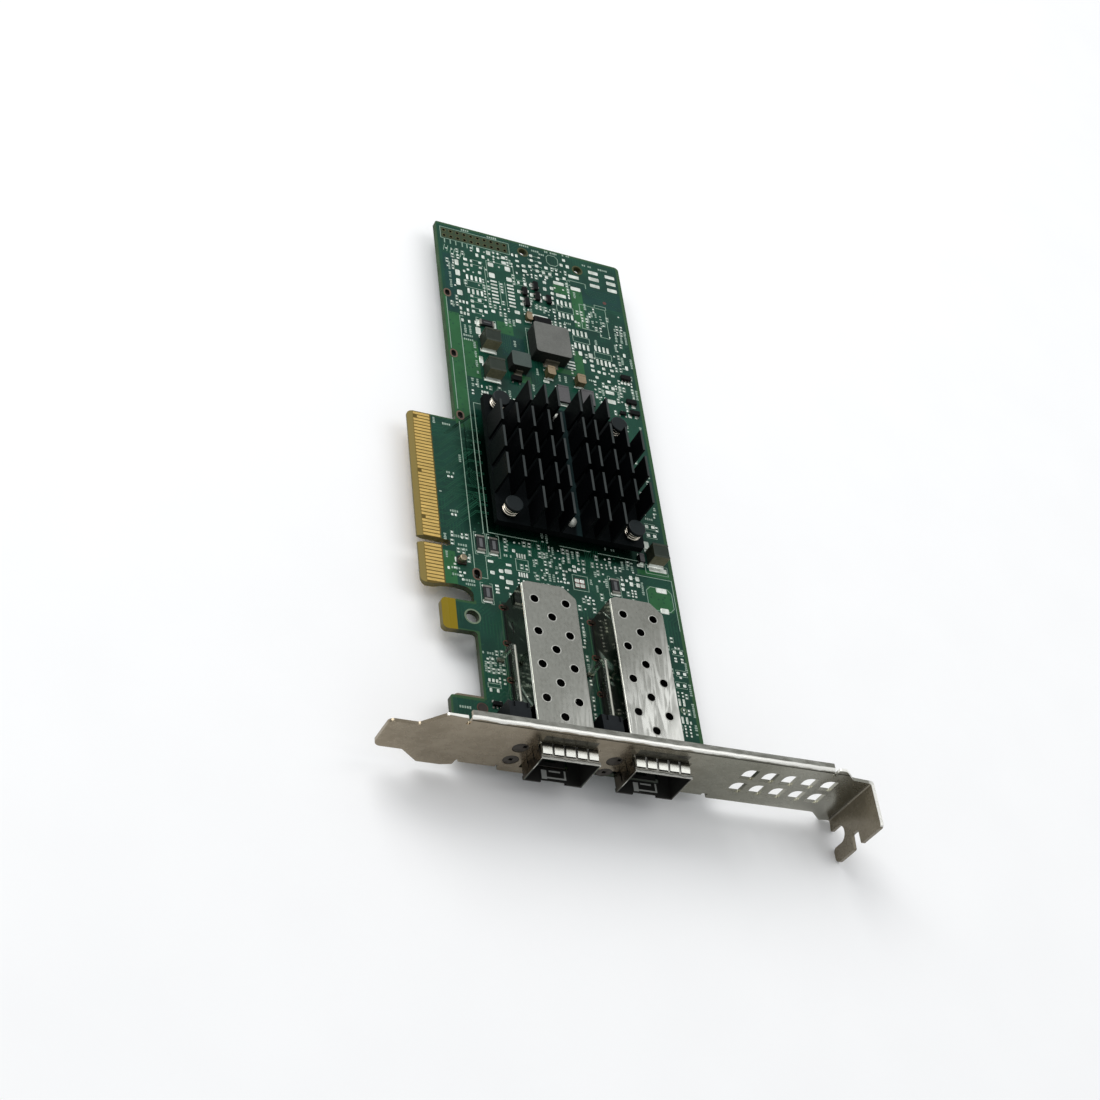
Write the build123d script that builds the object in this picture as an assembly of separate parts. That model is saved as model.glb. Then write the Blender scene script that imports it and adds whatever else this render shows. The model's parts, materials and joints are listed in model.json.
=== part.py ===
"""Two-port network interface card: board, slot bracket, module cages, heatsink and parts.

Working frame, millimetres: X runs from the edge-connector side (0 at the tongue's
outer edge) toward the bracket's screw tab, Y runs from the bracket toward the far
end (0 at the middle of the key notch), Z is up from the component side (0 at the
board's upper face). Everything is moved once at the end so that the origin sits
at the bottom centre of the bounding box.
"""

import math
import os

from build123d import *

# ---------------------------------------------------------------- driving sizes
BOARD_T = 1.57            # laminate thickness
BODY_X0 = 12.9            # board body, edge-connector side
BODY_X1 = 68.9            # board body, opposite side
BOARD_Y1 = 109.5          # far end
BOARD_Y0 = -56.95         # end behind the bracket
TONGUE_Y0, TONGUE_Y1 = -12.15, 39.15
NOTCH_W, NOTCH_X = 1.90, 8.4
BEVEL_X, BEVEL_Z = 1.35, 0.50

PITCH = 1.00              # edge contact pitch
CONTACT_W = 0.70
CONTACT_T = 0.04
CONTACT_X0, CONTACT_X0_SHORT, CONTACT_X1 = 1.45, 2.45, 5.75

SHEET = 0.86              # bracket sheet
FACE_Y = -58.15           # bracket outer face
INNER_Y = FACE_Y + SHEET
TIP_X = -14.75            # end of the bracket's narrow tongue
TAB_X = 104.60            # underside of the screw tab
TAB_Y = -69.35            # outer edge of the screw tab
PLATE_TOP = 15.60
TAB_BOTTOM = -6.30

CAGE_W = 14.1
CAGE_X = (20.30, 43.30)   # left outer wall of each cage
CAGE_Y0, CAGE_Y1 = -61.80, -14.50
CAGE_Z0, CAGE_Z1 = 0.10, 9.80
CAGE_T = 0.25
HOLE_R = 1.02

PIPE_X = (16.90, 39.90)   # centre of the light windows beside each cage
PIPE_Z = (6.85, 1.65)
PIPE_W = 0.90             # square light pipe
PIPE_IN = (0.95, 0.0)     # pipe centre beside the window centre, upper and lower
PIPE_UP = (0.50, 0.0)
WINDOW_R = 1.90

SINK_C = (39.30, 26.40)   # heatsink centre
SINK_HALF = 20.0
SINK_Z0, SINK_Z1, FIN_Z = 2.20, 4.00, 12.00
FIN_T = 0.60
FIN_COLS = (-19.60, -15.25, -10.90, -6.50, -3.10, 3.10, 6.50, 10.90, 15.25, 19.60)
FIN_ROWS = (-16.80, -8.40, 0.0, 8.40, 16.80)
FIN_LEN = 6.45
PIN_OFF = 16.60

ORIGIN = (-(TIP_X + TAB_X + SHEET) / 2, -(TAB_Y + BOARD_Y1) / 2, -TAB_BOTTOM)


# ---------------------------------------------------------------- small helpers
def box(x0, x1, y0, y1, z0, z1):
    return Pos((x0 + x1) / 2, (y0 + y1) / 2, (z0 + z1) / 2) * Box(x1 - x0, y1 - y0, z1 - z0)


def rod(x, y, z0, z1, r):
    return Pos(x, y, (z0 + z1) / 2) * Cylinder(r, z1 - z0)


def rod_y(x, z, y0, y1, r):
    return Pos(x, (y0 + y1) / 2, z) * Rot(90, 0, 0) * Cylinder(r, y1 - y0)


def loop(points, place):
    """Closed face from (a, b, corner radius) triples; place(a, b) gives a 3-D point."""
    n = len(points)
    ends = []
    for i, (a, b, r) in enumerate(points):
        if r <= 0:
            ends.append(((a, b), None, (a, b)))
            continue
        pa, pb, _ = points[i - 1]
        na, nb, _ = points[(i + 1) % n]
        u = (pa - a, pb - b)
        v = (na - a, nb - b)
        lu, lv = math.hypot(*u), math.hypot(*v)
        u = (u[0] / lu, u[1] / lu)
        v = (v[0] / lv, v[1] / lv)
        ang = math.acos(max(-1.0, min(1.0, u[0] * v[0] + u[1] * v[1])))
        t = min(r / math.tan(ang / 2), 0.49 * lu, 0.49 * lv)
        rr = t * math.tan(ang / 2)
        p = (a + u[0] * t, b + u[1] * t)
        q = (a + v[0] * t, b + v[1] * t)
        bis = (u[0] + v[0], u[1] + v[1])
        lb = math.hypot(*bis)
        d = rr / math.sin(ang / 2) - rr
        m = (a + bis[0] / lb * d, b + bis[1] / lb * d)
        ends.append((p, m, q))
    edges = []
    for i in range(n):
        p, m, q = ends[i]
        if m is not None:
            edges.append(Edge.make_three_point_arc(place(*p), place(*m), place(*q)))
        nxt = ends[(i + 1) % n][0]
        if math.hypot(nxt[0] - q[0], nxt[1] - q[1]) > 1e-6:
            edges.append(Edge.make_line(place(*q), place(*nxt)))
    return Face(Wire(edges))


def plate_z(points, z0, z1):
    return Solid.extrude(loop(points, lambda a, b: Vector(a, b, z0)), Vector(0, 0, z1 - z0))


def plate_y(points, y0, y1):
    return Solid.extrude(loop(points, lambda a, b: Vector(a, y0, b)), Vector(0, y1 - y0, 0))


def plate_x(points, x0, x1):
    return Solid.extrude(loop(points, lambda a, b: Vector(x0, a, b)), Vector(x1 - x0, 0, 0))


def joined(shapes):
    out = shapes[0]
    for s in shapes[1:]:
        out = out + s
    return out


parts = {}


def keep(name, shapes):
    """Store a node: one solid, or a group of separate solids."""
    if not isinstance(shapes, (list, tuple)):
        shapes = [shapes]
    solids = []
    for s in shapes:
        solids.extend(s.solids())
    parts[name] = solids


# ---------------------------------------------------------------- circuit board
sink_holes = [(SINK_C[0] + sx * PIN_OFF, SINK_C[1] + sy * PIN_OFF) for sx in (-1, 1) for sy in (-1, 1)]
cage_pin_y = ((-16.1, -26.1, -36.1), (-19.3, -26.1, -36.1))
cage_pins = [(x, y) for cx in CAGE_X for x, ys in ((cx - 0.38, cage_pin_y[0]), (cx + CAGE_W + 0.38, cage_pin_y[1])) for y in ys]
rivets = [(12.2, -44.7), (60.9, -44.7)]
ear_hole = (12.1, -20.1)
lamps = [(x + PIPE_IN[k], y) for k, y in enumerate((-31.3, -46.2)) for x in PIPE_X]

outline = [
    (BODY_X0, BOARD_Y1, 0.7), (BODY_X0, TONGUE_Y1, 0.6), (0.0, TONGUE_Y1, 1.0), (0.0, TONGUE_Y0 - 0.35, 2.0),
    (3.3, TONGUE_Y0 - 0.35, 1.2), (5.3, TONGUE_Y0 + 0.23, 1.0), (8.8, TONGUE_Y0 + 0.55, 2.0),
    (11.5, TONGUE_Y0 + 0.15, 1.6), (BODY_X0, -13.3, 1.0), (BODY_X0, -15.9, 0.15), (4.45, -15.9, 1.4),
    (4.45, -24.5, 1.3), (BODY_X0, -24.2, 1.0), (BODY_X0, -42.2, 0.3), (4.6, -42.2, 0.7), (4.6, BOARD_Y0, 0.3),
    (BODY_X1, BOARD_Y0, 0.4), (BODY_X1, BOARD_Y1, 1.3),
]
board = plate_z(outline, -BOARD_T, 0.0)
cuts = [box(-1.0, NOTCH_X - NOTCH_W / 2, -NOTCH_W / 2, NOTCH_W / 2, -3, 1),
        rod(NOTCH_X - NOTCH_W / 2, 0, -3, 1, NOTCH_W / 2)]
slope = BEVEL_Z / BEVEL_X
low = -BEVEL_Z - 0.5 * slope
cuts.append(plate_y([(-0.5, 0.4, 0), (-0.5, low, 0), (BEVEL_X, 0.0, 0), (BEVEL_X, 0.4, 0)], TONGUE_Y0 - 2, TONGUE_Y1 + 2))
cuts.append(plate_y([(-0.5, -BOARD_T - 0.4, 0), (-0.5, -BOARD_T - low, 0), (BEVEL_X, -BOARD_T, 0),
                     (BEVEL_X, -BOARD_T - 0.4, 0)], TONGUE_Y0 - 2, TONGUE_Y1 + 2))
cuts.append(rod(*ear_hole, -3, 1, 1.65))
for x, y in sink_holes:
    cuts.append(rod(x, y, -3, 1, 1.60))
for x, y in cage_pins:
    cuts.append(rod(x, y, -3, 1, 0.52))
for x, y in rivets:
    cuts.append(rod(x, y, -3, 1, 1.0))
# oblong holes along the edge: centre Y, half width, half length
for y, a, b in ((83.2, 0.64, 1.02), (61.8, 0.64, 1.02), (41.0, 0.66, 1.05), (-7.7, 0.76, 1.32)):
    cuts.append(plate_z([(14.4 - a, y - b, a * 0.98), (14.4 + a, y - b, a * 0.98), (14.4 + a, y + b, a * 0.98),
                         (14.4 - a, y + b, a * 0.98)], -3, 1))
for i in range(10):
    for y in (106.7, 104.7):
        cuts.append(rod(15.25 + 2.0 * i, y, -3, 1, 0.40))
cuts.append(rod(38.8, 106.0, -3, 1, 1.25))
cuts.append(rod(55.4, 104.4, -3, 1, 1.25))
board = board - cuts
keep("circuit_board", board)

# ---------------------------------------------------------------- edge contacts
contact_y = [-11.5 + PITCH * i for i in range(11)] + [1.5 + PITCH * i for i in range(38)]
top, bottom = [], []
for k, y in enumerate(contact_y, start=1):
    x0 = CONTACT_X0_SHORT if k in (17, 31, 48) else CONTACT_X0
    top.append(box(x0, CONTACT_X1, y - CONTACT_W / 2, y + CONTACT_W / 2, 0, CONTACT_T))
    x0 = CONTACT_X0_SHORT if k == 1 else CONTACT_X0
    bottom.append(box(x0, CONTACT_X1, y - CONTACT_W / 2, y + CONTACT_W / 2, -BOARD_T - CONTACT_T, -BOARD_T))
keep("edge_contacts_component_side", top)
keep("edge_contacts_solder_side", bottom)

# ---------------------------------------------------------------- slot bracket
LUG_L, LUG_R = (6.0, 14.6), (58.4, 66.9)
OPEN_Z = 10.40
REC_Z = 2.80
plate = plate_y([
    (TIP_X, 0.0, 1.8), (TIP_X, 10.2, 1.3), (-8.0, 10.2, 0.9), (-3.4, 15.3, 0.9), (1.3, 15.3, 0.4),
    (1.3, 13.1, 0.2), (2.1, 13.1, 0.2), (2.1, 13.9, 0), (93.1, 13.9, 0), (93.1, 13.5, 0.1), (94.0, 13.5, 0.2),
    (94.0, 16.1, 0.5), (96.0, 16.1, 1.5), (99.4, 13.1, 1.6), (103.6, 12.8, 0),
    (103.6, -5.6, 0), (101.7, -5.9, 0.9), (98.0, -2.75, 1.2), (68.4, -2.9, 0.5), (68.4, -1.2, 0.3),
    (CAGE_X[1] + CAGE_W + 0.35, -1.2, 0), (CAGE_X[1] + CAGE_W + 0.35, OPEN_Z, 0.3),
    (CAGE_X[1] - 0.35, OPEN_Z, 0.3), (CAGE_X[1] - 0.35, REC_Z, 0.4), (36.8, REC_Z, 0.6),
    (36.8, -3.2, 0.5), (15.5, -3.2, 0.7), (15.1, -1.2, 0.2), (5.1, -1.2, 0.2), (5.0, -3.3, 0.6), (2.4, -4.05, 0.6),
    (-3.2, -4.05, 0.9), (-8.0, 0.0, 0.9),
], FACE_Y, INNER_Y)
flange = plate_x([
    (FACE_Y, 13.9, 0), (FACE_Y, PLATE_TOP, 0.95), (-55.95, PLATE_TOP, 0), (-55.95, PLATE_TOP - SHEET, 0),
    (INNER_Y, PLATE_TOP - SHEET, 0.15), (INNER_Y, 13.9, 0)], 2.1, 93.1)
lugs = []
for x0, x1 in (LUG_L, LUG_R):
    bend = plate_x([
        (FACE_Y, -1.2, 0), (FACE_Y, -BOARD_T - SHEET, 0.95), (-56.5, -BOARD_T - SHEET, 0), (-56.5, -BOARD_T, 0),
        (INNER_Y, -BOARD_T, 0.12), (INNER_Y, -1.2, 0)], x0, x1)
    tongue = plate_z([(x0, -56.6, 0), (x0, -40.6, 1.5), (x1, -40.6, 1.5), (x1, -56.6, 0)], -BOARD_T - SHEET, -BOARD_T)
    lugs += [bend, tongue]
# screw tab: bend and plate
tab_bend = plate_z([
    (103.6, INNER_Y, 0), (103.6, FACE_Y, 0), (TAB_X, FACE_Y, 0.35), (TAB_X, -59.5, 0), (TAB_X + SHEET, -59.5, 0),
    (TAB_X + SHEET, INNER_Y, 1.2)], -5.6, 12.8)
tab = plate_x([
    (-58.9, 12.8, 0), (TAB_Y, 12.8, 1.0), (TAB_Y, 4.3, 0.4), (-65.6, 4.3, 0.3), (-65.6, 1.5, 0.3), (TAB_Y, 1.2, 0.5),
    (TAB_Y, TAB_BOTTOM, 1.4), (-65.5, TAB_BOTTOM, 1.2), (-65.5, -0.8, 2.19), (-61.1, -0.8, 2.19), (-61.1, -5.9, 0.3),
    (-58.9, -5.6, 0)], TAB_X, TAB_X + SHEET)
bracket = joined([plate, flange] + lugs + [tab_bend, tab])
holes = [box(CAGE_X[0] - 0.35, CAGE_X[0] + CAGE_W + 0.35, FACE_Y - 1, INNER_Y + 1, -0.9, OPEN_Z)]
for i, (x, z) in enumerate([(PIPE_X[0], PIPE_Z[0]), (PIPE_X[0], PIPE_Z[1]), (PIPE_X[1], PIPE_Z[0]), (PIPE_X[1], PIPE_Z[1])]):
    holes.append(rod_y(x, z, FACE_Y - 1, INNER_Y + 0.5, WINDOW_R))
VENT_PITCH = 5.35
for i in range(5):
    x = 71.75 + VENT_PITCH * i
    for z0 in (7.05, 1.20):
        holes.append(plate_y([(x, z0, 0.15), (x, z0 + 4.2, 2.3), (x + 3.45, z0 + 4.2, 0.15), (x + 3.45, z0, 0.15)],
                             FACE_Y - 1, INNER_Y + 1))
for x, y in rivets:
    holes.append(rod(x, y, -4, -1, 1.0))
bracket = bracket - holes
keep("slot_bracket", bracket)

keep("bracket_rivets", [rod(x, y, -BOARD_T - SHEET, 0, 0.95) + rod(x, y, 0, 0.16, 1.12)
                        + rod(x, y, -BOARD_T - SHEET - 0.55, -BOARD_T - SHEET, 1.75) for x, y in rivets])


# ---------------------------------------------------------------- module cages
def cage(x0):
    x1 = x0 + CAGE_W
    t = CAGE_T
    outer = plate_z([(x0, CAGE_Y0, 0), (x0, CAGE_Y1 - 1.1, 0), (x0 + 2.0, CAGE_Y1, 0), (x1 - 3.2, CAGE_Y1, 1.2),
                     (x1, CAGE_Y1 - 3.0, 1.2), (x1, CAGE_Y0, 0)], CAGE_Z0, CAGE_Z1)
    inner = plate_z([(x0 + t, CAGE_Y0 - 1, 0), (x0 + t, CAGE_Y1 - 1.1 - t * 0.8, 0), (x0 + 2.0 + t * 0.3, CAGE_Y1 - t, 0),
                     (x1 - 3.2 - t * 0.4, CAGE_Y1 - t, 1.0), (x1 - t, CAGE_Y1 - 3.0 - t * 0.4, 1.0),
                     (x1 - t, CAGE_Y0 - 1, 0)], CAGE_Z0 + t, CAGE_Z1 - t)
    outer = fillet(outer.edges().filter_by(Axis.Y).group_by(Axis.Z)[-1], 0.40)
    inner = fillet(inner.edges().filter_by(Axis.Y).group_by(Axis.Z)[-1], 0.15)
    shell = outer - inner
    cut = []
    cx = (x0 + x1) / 2
    y = -19.40
    for k in range(4):
        for dx in (-4.0, 4.0):
            cut.append(rod(cx + dx, y - 8.86 * k, CAGE_Z1 - 1, CAGE_Z1 + 1, HOLE_R))
        cut.append(rod(cx, y - 4.40 - 8.86 * k, CAGE_Z1 - 1, CAGE_Z1 + 1, HOLE_R))
    # floor: opening for the host connector, latch tongue cut free, front lip notch
    cut.append(box(x0 + 1.3, x1 - 1.3, -29.0, -15.6, -1, 1.5))
    cut.append(box(cx - 4.2, cx - 3.6, CAGE_Y0 + 3.9, CAGE_Y0 + 13.0, -1, 1.5))
    cut.append(box(cx + 3.6, cx + 4.2, CAGE_Y0 + 3.9, CAGE_Y0 + 13.0, -1, 1.5))
    cut.append(box(cx - 4.2, cx + 4.2, CAGE_Y0 + 3.7, CAGE_Y0 + 4.2, -1, 1.5))
    cut.append(plate_z([(cx - 2.9, CAGE_Y0 - 0.5, 0), (cx + 4.3, CAGE_Y0 - 0.5, 0), (cx + 2.9, CAGE_Y0 + 0.5, 0),
                        (cx - 2.9, CAGE_Y0 + 0.5, 0)], -1, 1.5))
    cut.append(plate_z([(cx - 1.5, CAGE_Y0 + 5.2, 0.1), (cx + 1.5, CAGE_Y0 + 5.2, 0.1), (cx, CAGE_Y0 + 7.8, 0.1)], -1, 1.5))
    # side wall slots where the inner ground springs are struck out
    for yy in (-24.0, -40.0):
        cut.append(box(x0 - 1, x0 + 1, yy - 1.6, yy + 1.6, 3.2, 3.7))
        cut.append(box(x1 - 1, x1 + 1, yy - 1.6, yy + 1.6, 3.2, 3.7))
    shell = shell - cut
    # pressed frame of the module latch on the floor, just inside the mouth
    fz = CAGE_Z0 + t
    frame = [box(cx - 2.65, cx - 1.35, CAGE_Y0 + 0.75, CAGE_Y0 + 3.05, fz - 0.05, fz + 0.14),
             box(cx - 1.40, cx + 3.40, CAGE_Y0 + 1.00, CAGE_Y0 + 1.38, fz - 0.05, fz + 0.14),
             box(cx + 2.95, cx + 3.40, CAGE_Y0 + 1.20, CAGE_Y0 + 3.30, fz - 0.05, fz + 0.14),
             box(cx - 0.80, cx + 2.05, CAGE_Y0 + 2.65, CAGE_Y0 + 3.05, fz - 0.05, fz + 0.14)]
    shell = joined([shell] + frame)
    feet = []
    for y in cage_pin_y[0]:
        feet.append(box(x0 - 0.51, x0 + t, y - 0.35, y + 0.35, 0.0, 0.30))
        feet.append(box(x0 - 0.51, x0 - 0.25, y - 0.35, y + 0.35, -2.9, 0.30))
    for y in cage_pin_y[1]:
        feet.append(box(x1 - t, x1 + 0.51, y - 0.35, y + 0.35, 0.0, 0.30))
        feet.append(box(x1 + 0.25, x1 + 0.51, y - 0.35, y + 0.35, -2.9, 0.30))
    return joined([shell] + feet)


def collar(x0):
    """Spring-finger collar wrapped round the cage mouth."""
    x1 = x0 + CAGE_W
    g = 0.14
    yb = CAGE_Y0 + 0.95
    cx = (x0 + x1) / 2
    band = box(x0 - g, x1 + g, CAGE_Y0, yb, CAGE_Z0 - g, CAGE_Z1 + g) - box(x0, x1, CAGE_Y0 - 1, yb + 1, CAGE_Z0, CAGE_Z1)
    band = band - box(cx - 3.0, cx + 3.0, CAGE_Y0 - 1, yb + 1, CAGE_Z0 - 1, CAGE_Z0 + 0.05)
    pieces = [band]
    # profile: distance from the cage wall against Y
    outer = [(yb - 0.1, g), (yb, g), (yb + 0.04, 0.05), (yb + 0.24, 0.05), (yb + 0.30, 0.19), (-58.72, 0.46), (-57.9, 0.48), (-56.9, 0.24)]
    inner = [(yb - 0.1, 0.0), (-60.4, 0.0), (-58.72, 0.32), (-57.9, 0.34), (-56.9, 0.10)]
    ring = outer + inner[::-1]
    side_outer = [(yb - 0.1, g), (-60.2, 0.20), (-58.7, 0.46), (-57.9, 0.48), (-56.9, 0.24)]
    n, pitch = 5, CAGE_W / 5
    for i in range(n):
        a = x0 + pitch * i + 0.28
        b = x0 + pitch * (i + 1) - 0.28
        pieces.append(plate_x([(y, CAGE_Z1 + d, 0) for y, d in ring], a, b))
    pitch = (CAGE_Z1 - CAGE_Z0 - 0.6) / 3
    for i in range(3):
        a = CAGE_Z0 + 0.3 + pitch * i + 0.2
        b = CAGE_Z0 + 0.3 + pitch * (i + 1) - 0.2
        pieces.append(plate_z([(x0 - d * 0.68, y, 0) for y, d in side_outer]
                              + [(x0 - max(d * 0.68 - g, 0.0), y, 0) for y, d in side_outer[::-1]], a, b))
        pieces.append(plate_z([(x1 + d * 0.68, y, 0) for y, d in side_outer]
                              + [(x1 + max(d * 0.68 - g, 0.0), y, 0) for y, d in side_outer[::-1]], a, b))
    return joined(pieces)


def host(x0):
    cx = x0 + CAGE_W / 2
    body = box(cx - 5.4, cx + 5.4, -28.4, -17.0, 0, 7.6)
    return body - [box(cx - 4.3, cx + 4.3, -29.0, -20.5, 3.1, 4.5), box(cx - 6, cx + 6, -29, -26.5, 5.9, 8.0),
                   box(cx - 4.6, cx + 4.6, -29.0, -27.4, 2.3, 5.2)]


keep("module_cage_left", cage(CAGE_X[0]))
keep("module_cage_right", cage(CAGE_X[1]))
keep("cage_collar_left", collar(CAGE_X[0]))
keep("cage_collar_right", collar(CAGE_X[1]))
keep("host_connector_left", host(CAGE_X[0]))
keep("host_connector_right", host(CAGE_X[1]))


# ---------------------------------------------------------------- light pipes
def holder(px):
    h = PIPE_W / 2 + 0.02
    xs = [px + d for d in PIPE_IN]
    zs = [z + d for z, d in zip(PIPE_Z, PIPE_UP)]
    body = plate_x([(-57.27, 0.0, 0.2), (-57.27, 8.6, 0.3), (-50.0, 8.6, 0.4), (-46.9, 8.35, 0.5), (-46.9, 3.0, 0.3),
                    (-47.6, 0.0, 0.2)], px - 2.45, px + 2.75)
    bosses = [rod_y(px, z, -58.02, -57.2, WINDOW_R - 0.06) for z in PIPE_Z]
    body = joined([body] + bosses)
    cut = [box(x - h, x + h, -60, -40, z - h, z + h) for x, z in zip(xs, zs)]
    cut += [box(px - 1.67, px - 0.87, -48.6, -46, 7.9, 9.5), box(px + 1.65, px + 2.3, -48.6, -46, 7.9, 9.5)]
    cut += [box(xs[1] - h, xs[1] + h, -48.2, -46, 0, 3)]
    return body - cut


def pipes(px):
    w = PIPE_W / 2
    x, z = px + PIPE_IN[0], PIPE_Z[0] + PIPE_UP[0]
    upper = plate_x([(-57.95, z - w, 0.15), (-57.95, z + w, 0.15), (-30.85, z + w, 1.5), (-30.85, 0.75, 0), (-31.75, 0.75, 0),
                     (-31.75, z - w, 0.6)], x - w, x + w)
    x, z = px + PIPE_IN[1], PIPE_Z[1] + PIPE_UP[1]
    lower = plate_x([(-57.95, z - w, 0.15), (-57.95, z + w, 0.15), (-45.6, z + w, 0.8), (-45.6, z - w, 0)],
                    x - w, x + w)
    return [upper, lower]


keep("light_pipe_holder_left", holder(PIPE_X[0]))
keep("light_pipe_holder_right", holder(PIPE_X[1]))
keep("light_pipes_left", pipes(PIPE_X[0]))
keep("light_pipes_right", pipes(PIPE_X[1]))
keep("status_lamps", [box(x - 0.8, x + 0.8, y - 0.4, y + 0.4, 0, 0.70 if y > -40 else 0.70) for x, y in lamps])

# ---------------------------------------------------------------- heatsink group
sx, sy = SINK_C
base = plate_z([(sx - SINK_HALF, sy - SINK_HALF, 0.6), (sx + SINK_HALF, sy - SINK_HALF, 0.6),
                (sx + SINK_HALF, sy + SINK_HALF, 0.6), (sx - SINK_HALF, sy + SINK_HALF, 0.6)], SINK_Z0, SINK_Z1)
fins = []
for c in FIN_COLS:
    for r in FIN_ROWS:
        if abs(r) > 12 and abs(c) > 12:
            continue
        fins.append(box(sx + c - FIN_T / 2, sx + c + FIN_T / 2, sy + r - FIN_LEN / 2, sy + r + FIN_LEN / 2, SINK_Z1 - 0.2, FIN_Z))
sink = base + fins
sink = sink - [rod(x, y, SINK_Z0 - 1, SINK_Z1 + 1, 1.45) for x, y in sink_holes]
keep("heatsink", sink)
keep("thermal_pad", box(sx - 9, sx + 9, sy - 9, sy + 9, 2.0, 2.2))
keep("controller_chip", box(sx - 12.5, sx + 12.5, sy - 12.5, sy + 12.5, 0.0, 1.1) + box(sx - 9.5, sx + 9.5, sy - 9.5, sy + 9.5, 1.0, 2.0))

pins = []
for x, y in sink_holes:
    head = Pos(x, y, 7.05) * Cylinder(2.35, 0.9)
    head = fillet(head.edges().group_by(Axis.Z)[-1], 0.3)
    shaft = rod(x, y, -2.6, 6.65, 1.05)
    neck = rod(x, y, 4.05, 4.9, 1.30)
    tip = Pos(x, y, -2.9) * Cone(1.0, 1.95, 2.2)
    slot = box(x - 0.3, x + 0.3, y - 3, y + 3, -5, -0.6)
    pins.append(joined([shaft, neck, head, tip]) - slot)
keep("push_pins", pins)

path = Helix(pitch=0.72, height=2.04, radius=1.88)
coil = sweep(Plane(origin=path @ 0, z_dir=path % 0) * Circle(0.25), path=path, is_frenet=True)
springs = [Pos(x, y, 4.0 + 0.27) * coil for x, y in sink_holes]
keep("push_pin_springs", springs)

studs = []
for dy in (-16.4, 16.4):
    s = Pos(sx, sy + dy, SINK_Z1 + 0.75) * Cylinder(1.30, 1.5)
    s = fillet(s.edges().group_by(Axis.Z)[-1], 1.05)
    studs.append(s)
keep("heatsink_studs", studs)


# ---------------------------------------------------------------- board components
def block(x0, x1, y0, y1, z1, z0=0.0, r=0.25):
    b = box(x0, x1, y0, y1, z0, z1)
    return fillet(b.edges().filter_by(Axis.Z), r)


big = plate_z([(36.65, 65.6, 0.9), (46.95, 65.6, 0.9), (46.95, 76.1, 0.9), (36.65, 76.1, 0.9)], 0.25, 4.2)
keep("large_inductor_body", big)
keep("large_inductor_terminals", [
    box(40.4, 44.4, 65.35, 65.6, 0, 1.8) + box(40.4, 44.4, 65.35, 67.8, 0, 0.25),
    box(40.4, 44.4, 76.1, 76.35, 0, 1.8) + box(40.4, 44.4, 73.9, 76.35, 0, 0.25)])
small = plate_z([(29.6, 59.8, 0.6), (35.0, 59.8, 0.6), (35.0, 64.7, 0.6), (29.6, 64.7, 0.6)], 0.2, 3.1)
keep("small_inductor_body", small)
keep("small_inductor_terminals", [
    box(31.3, 33.3, 59.6, 59.8, 0, 1.3) + box(31.3, 33.3, 59.6, 60.9, 0, 0.2),
    box(31.3, 33.3, 64.7, 64.9, 0, 1.3) + box(31.3, 33.3, 63.6, 64.9, 0, 0.2)])

blocks = [(22.30, 26.65, 65.45, 69.85), (22.35, 26.90, 55.45, 59.90), (61.85, 66.25, 4.75, 8.95)]
bodies, caps = [], []
for x0, x1, y0, y1 in blocks:
    bodies.append(box(x0 + 0.05, x1 - 0.05, y0 + 0.6, y1 - 0.6, 0.1, 3.95))
    caps.append(block(x0, x1, y0, y0 + 0.6, 4.0, r=0.12))
    caps.append(block(x0, x1, y1 - 0.6, y1, 4.0, r=0.12))
keep("block_capacitor_bodies", bodies)
keep("block_capacitor_end_caps", caps)

tans = [(40.20, 42.55, 60.30, 63.20, 2.2), (48.85, 51.35, 59.65, 62.75, 2.2), (36.75, 38.50, 79.45, 82.20, 1.25)]
bodies, caps = [], []
for x0, x1, y0, y1, h in tans:
    e = 0.24 * (x1 - x0)
    bodies.append(box(x0, x1, y0 + e, y1 - e, 0.05, h))
    caps.append(plate_z([(x0, y0 + e, 0), (x0 + 0.05, y0 + 0.25, 0), (x0 + 0.45, y0, 0), (x1 - 0.45, y0, 0), (x1 - 0.05, y0 + 0.25, 0),
                         (x1, y0 + e, 0)], 0, h))
    caps.append(plate_z([(x1, y1 - e, 0), (x1 - 0.05, y1 - 0.25, 0), (x1 - 0.45, y1, 0), (x0 + 0.45, y1, 0), (x0 + 0.05, y1 - 0.25, 0),
                         (x0, y1 - e, 0)], 0, h))
keep("tan_capacitor_bodies", bodies)
keep("tan_capacitor_end_caps", caps)

greys = [(43.00, 46.20, 52.40, 58.10, 1.2), (49.90, 53.60, 53.40, 58.50, 1.2), (59.45, 60.75, 4.80, 7.30, 1.0)]
bodies, caps = [], []
for x0, x1, y0, y1, h in greys:
    bodies.append(box(x0, x1, y0 + 0.5, y1 - 0.5, 0.0, h))
    caps.append(box(x0, x1, y0, y0 + 0.5, 0, h + 0.03))
    caps.append(box(x0, x1, y1 - 0.5, y1, 0, h + 0.03))
keep("ferrite_bodies", bodies)
keep("ferrite_end_caps", caps)

resistors = [(15.00, 17.00, -0.85, 3.65), (18.35, 20.45, -0.85, 3.60), (15.40, 17.50, -15.00, -10.90), (50.30, 52.40, -6.20, -1.95)]
bodies, caps = [], []
for x0, x1, y0, y1 in resistors:
    bodies.append(box(x0, x1, y0 + 0.5, y1 - 0.5, 0, 0.6))
    caps.append(box(x0, x1, y0, y0 + 0.5, 0, 0.62))
    caps.append(box(x0, x1, y1 - 0.5, y1, 0, 0.62))
bodies.append(box(23.15, 26.25, 73.85, 75.65, 0, 0.8))
caps.append(box(22.65, 23.15, 73.85, 75.65, 0, 0.82))
caps.append(box(26.25, 26.75, 73.85, 75.65, 0, 0.82))
keep("flat_resistor_bodies", bodies)
keep("flat_resistor_end_caps", caps)


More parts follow.
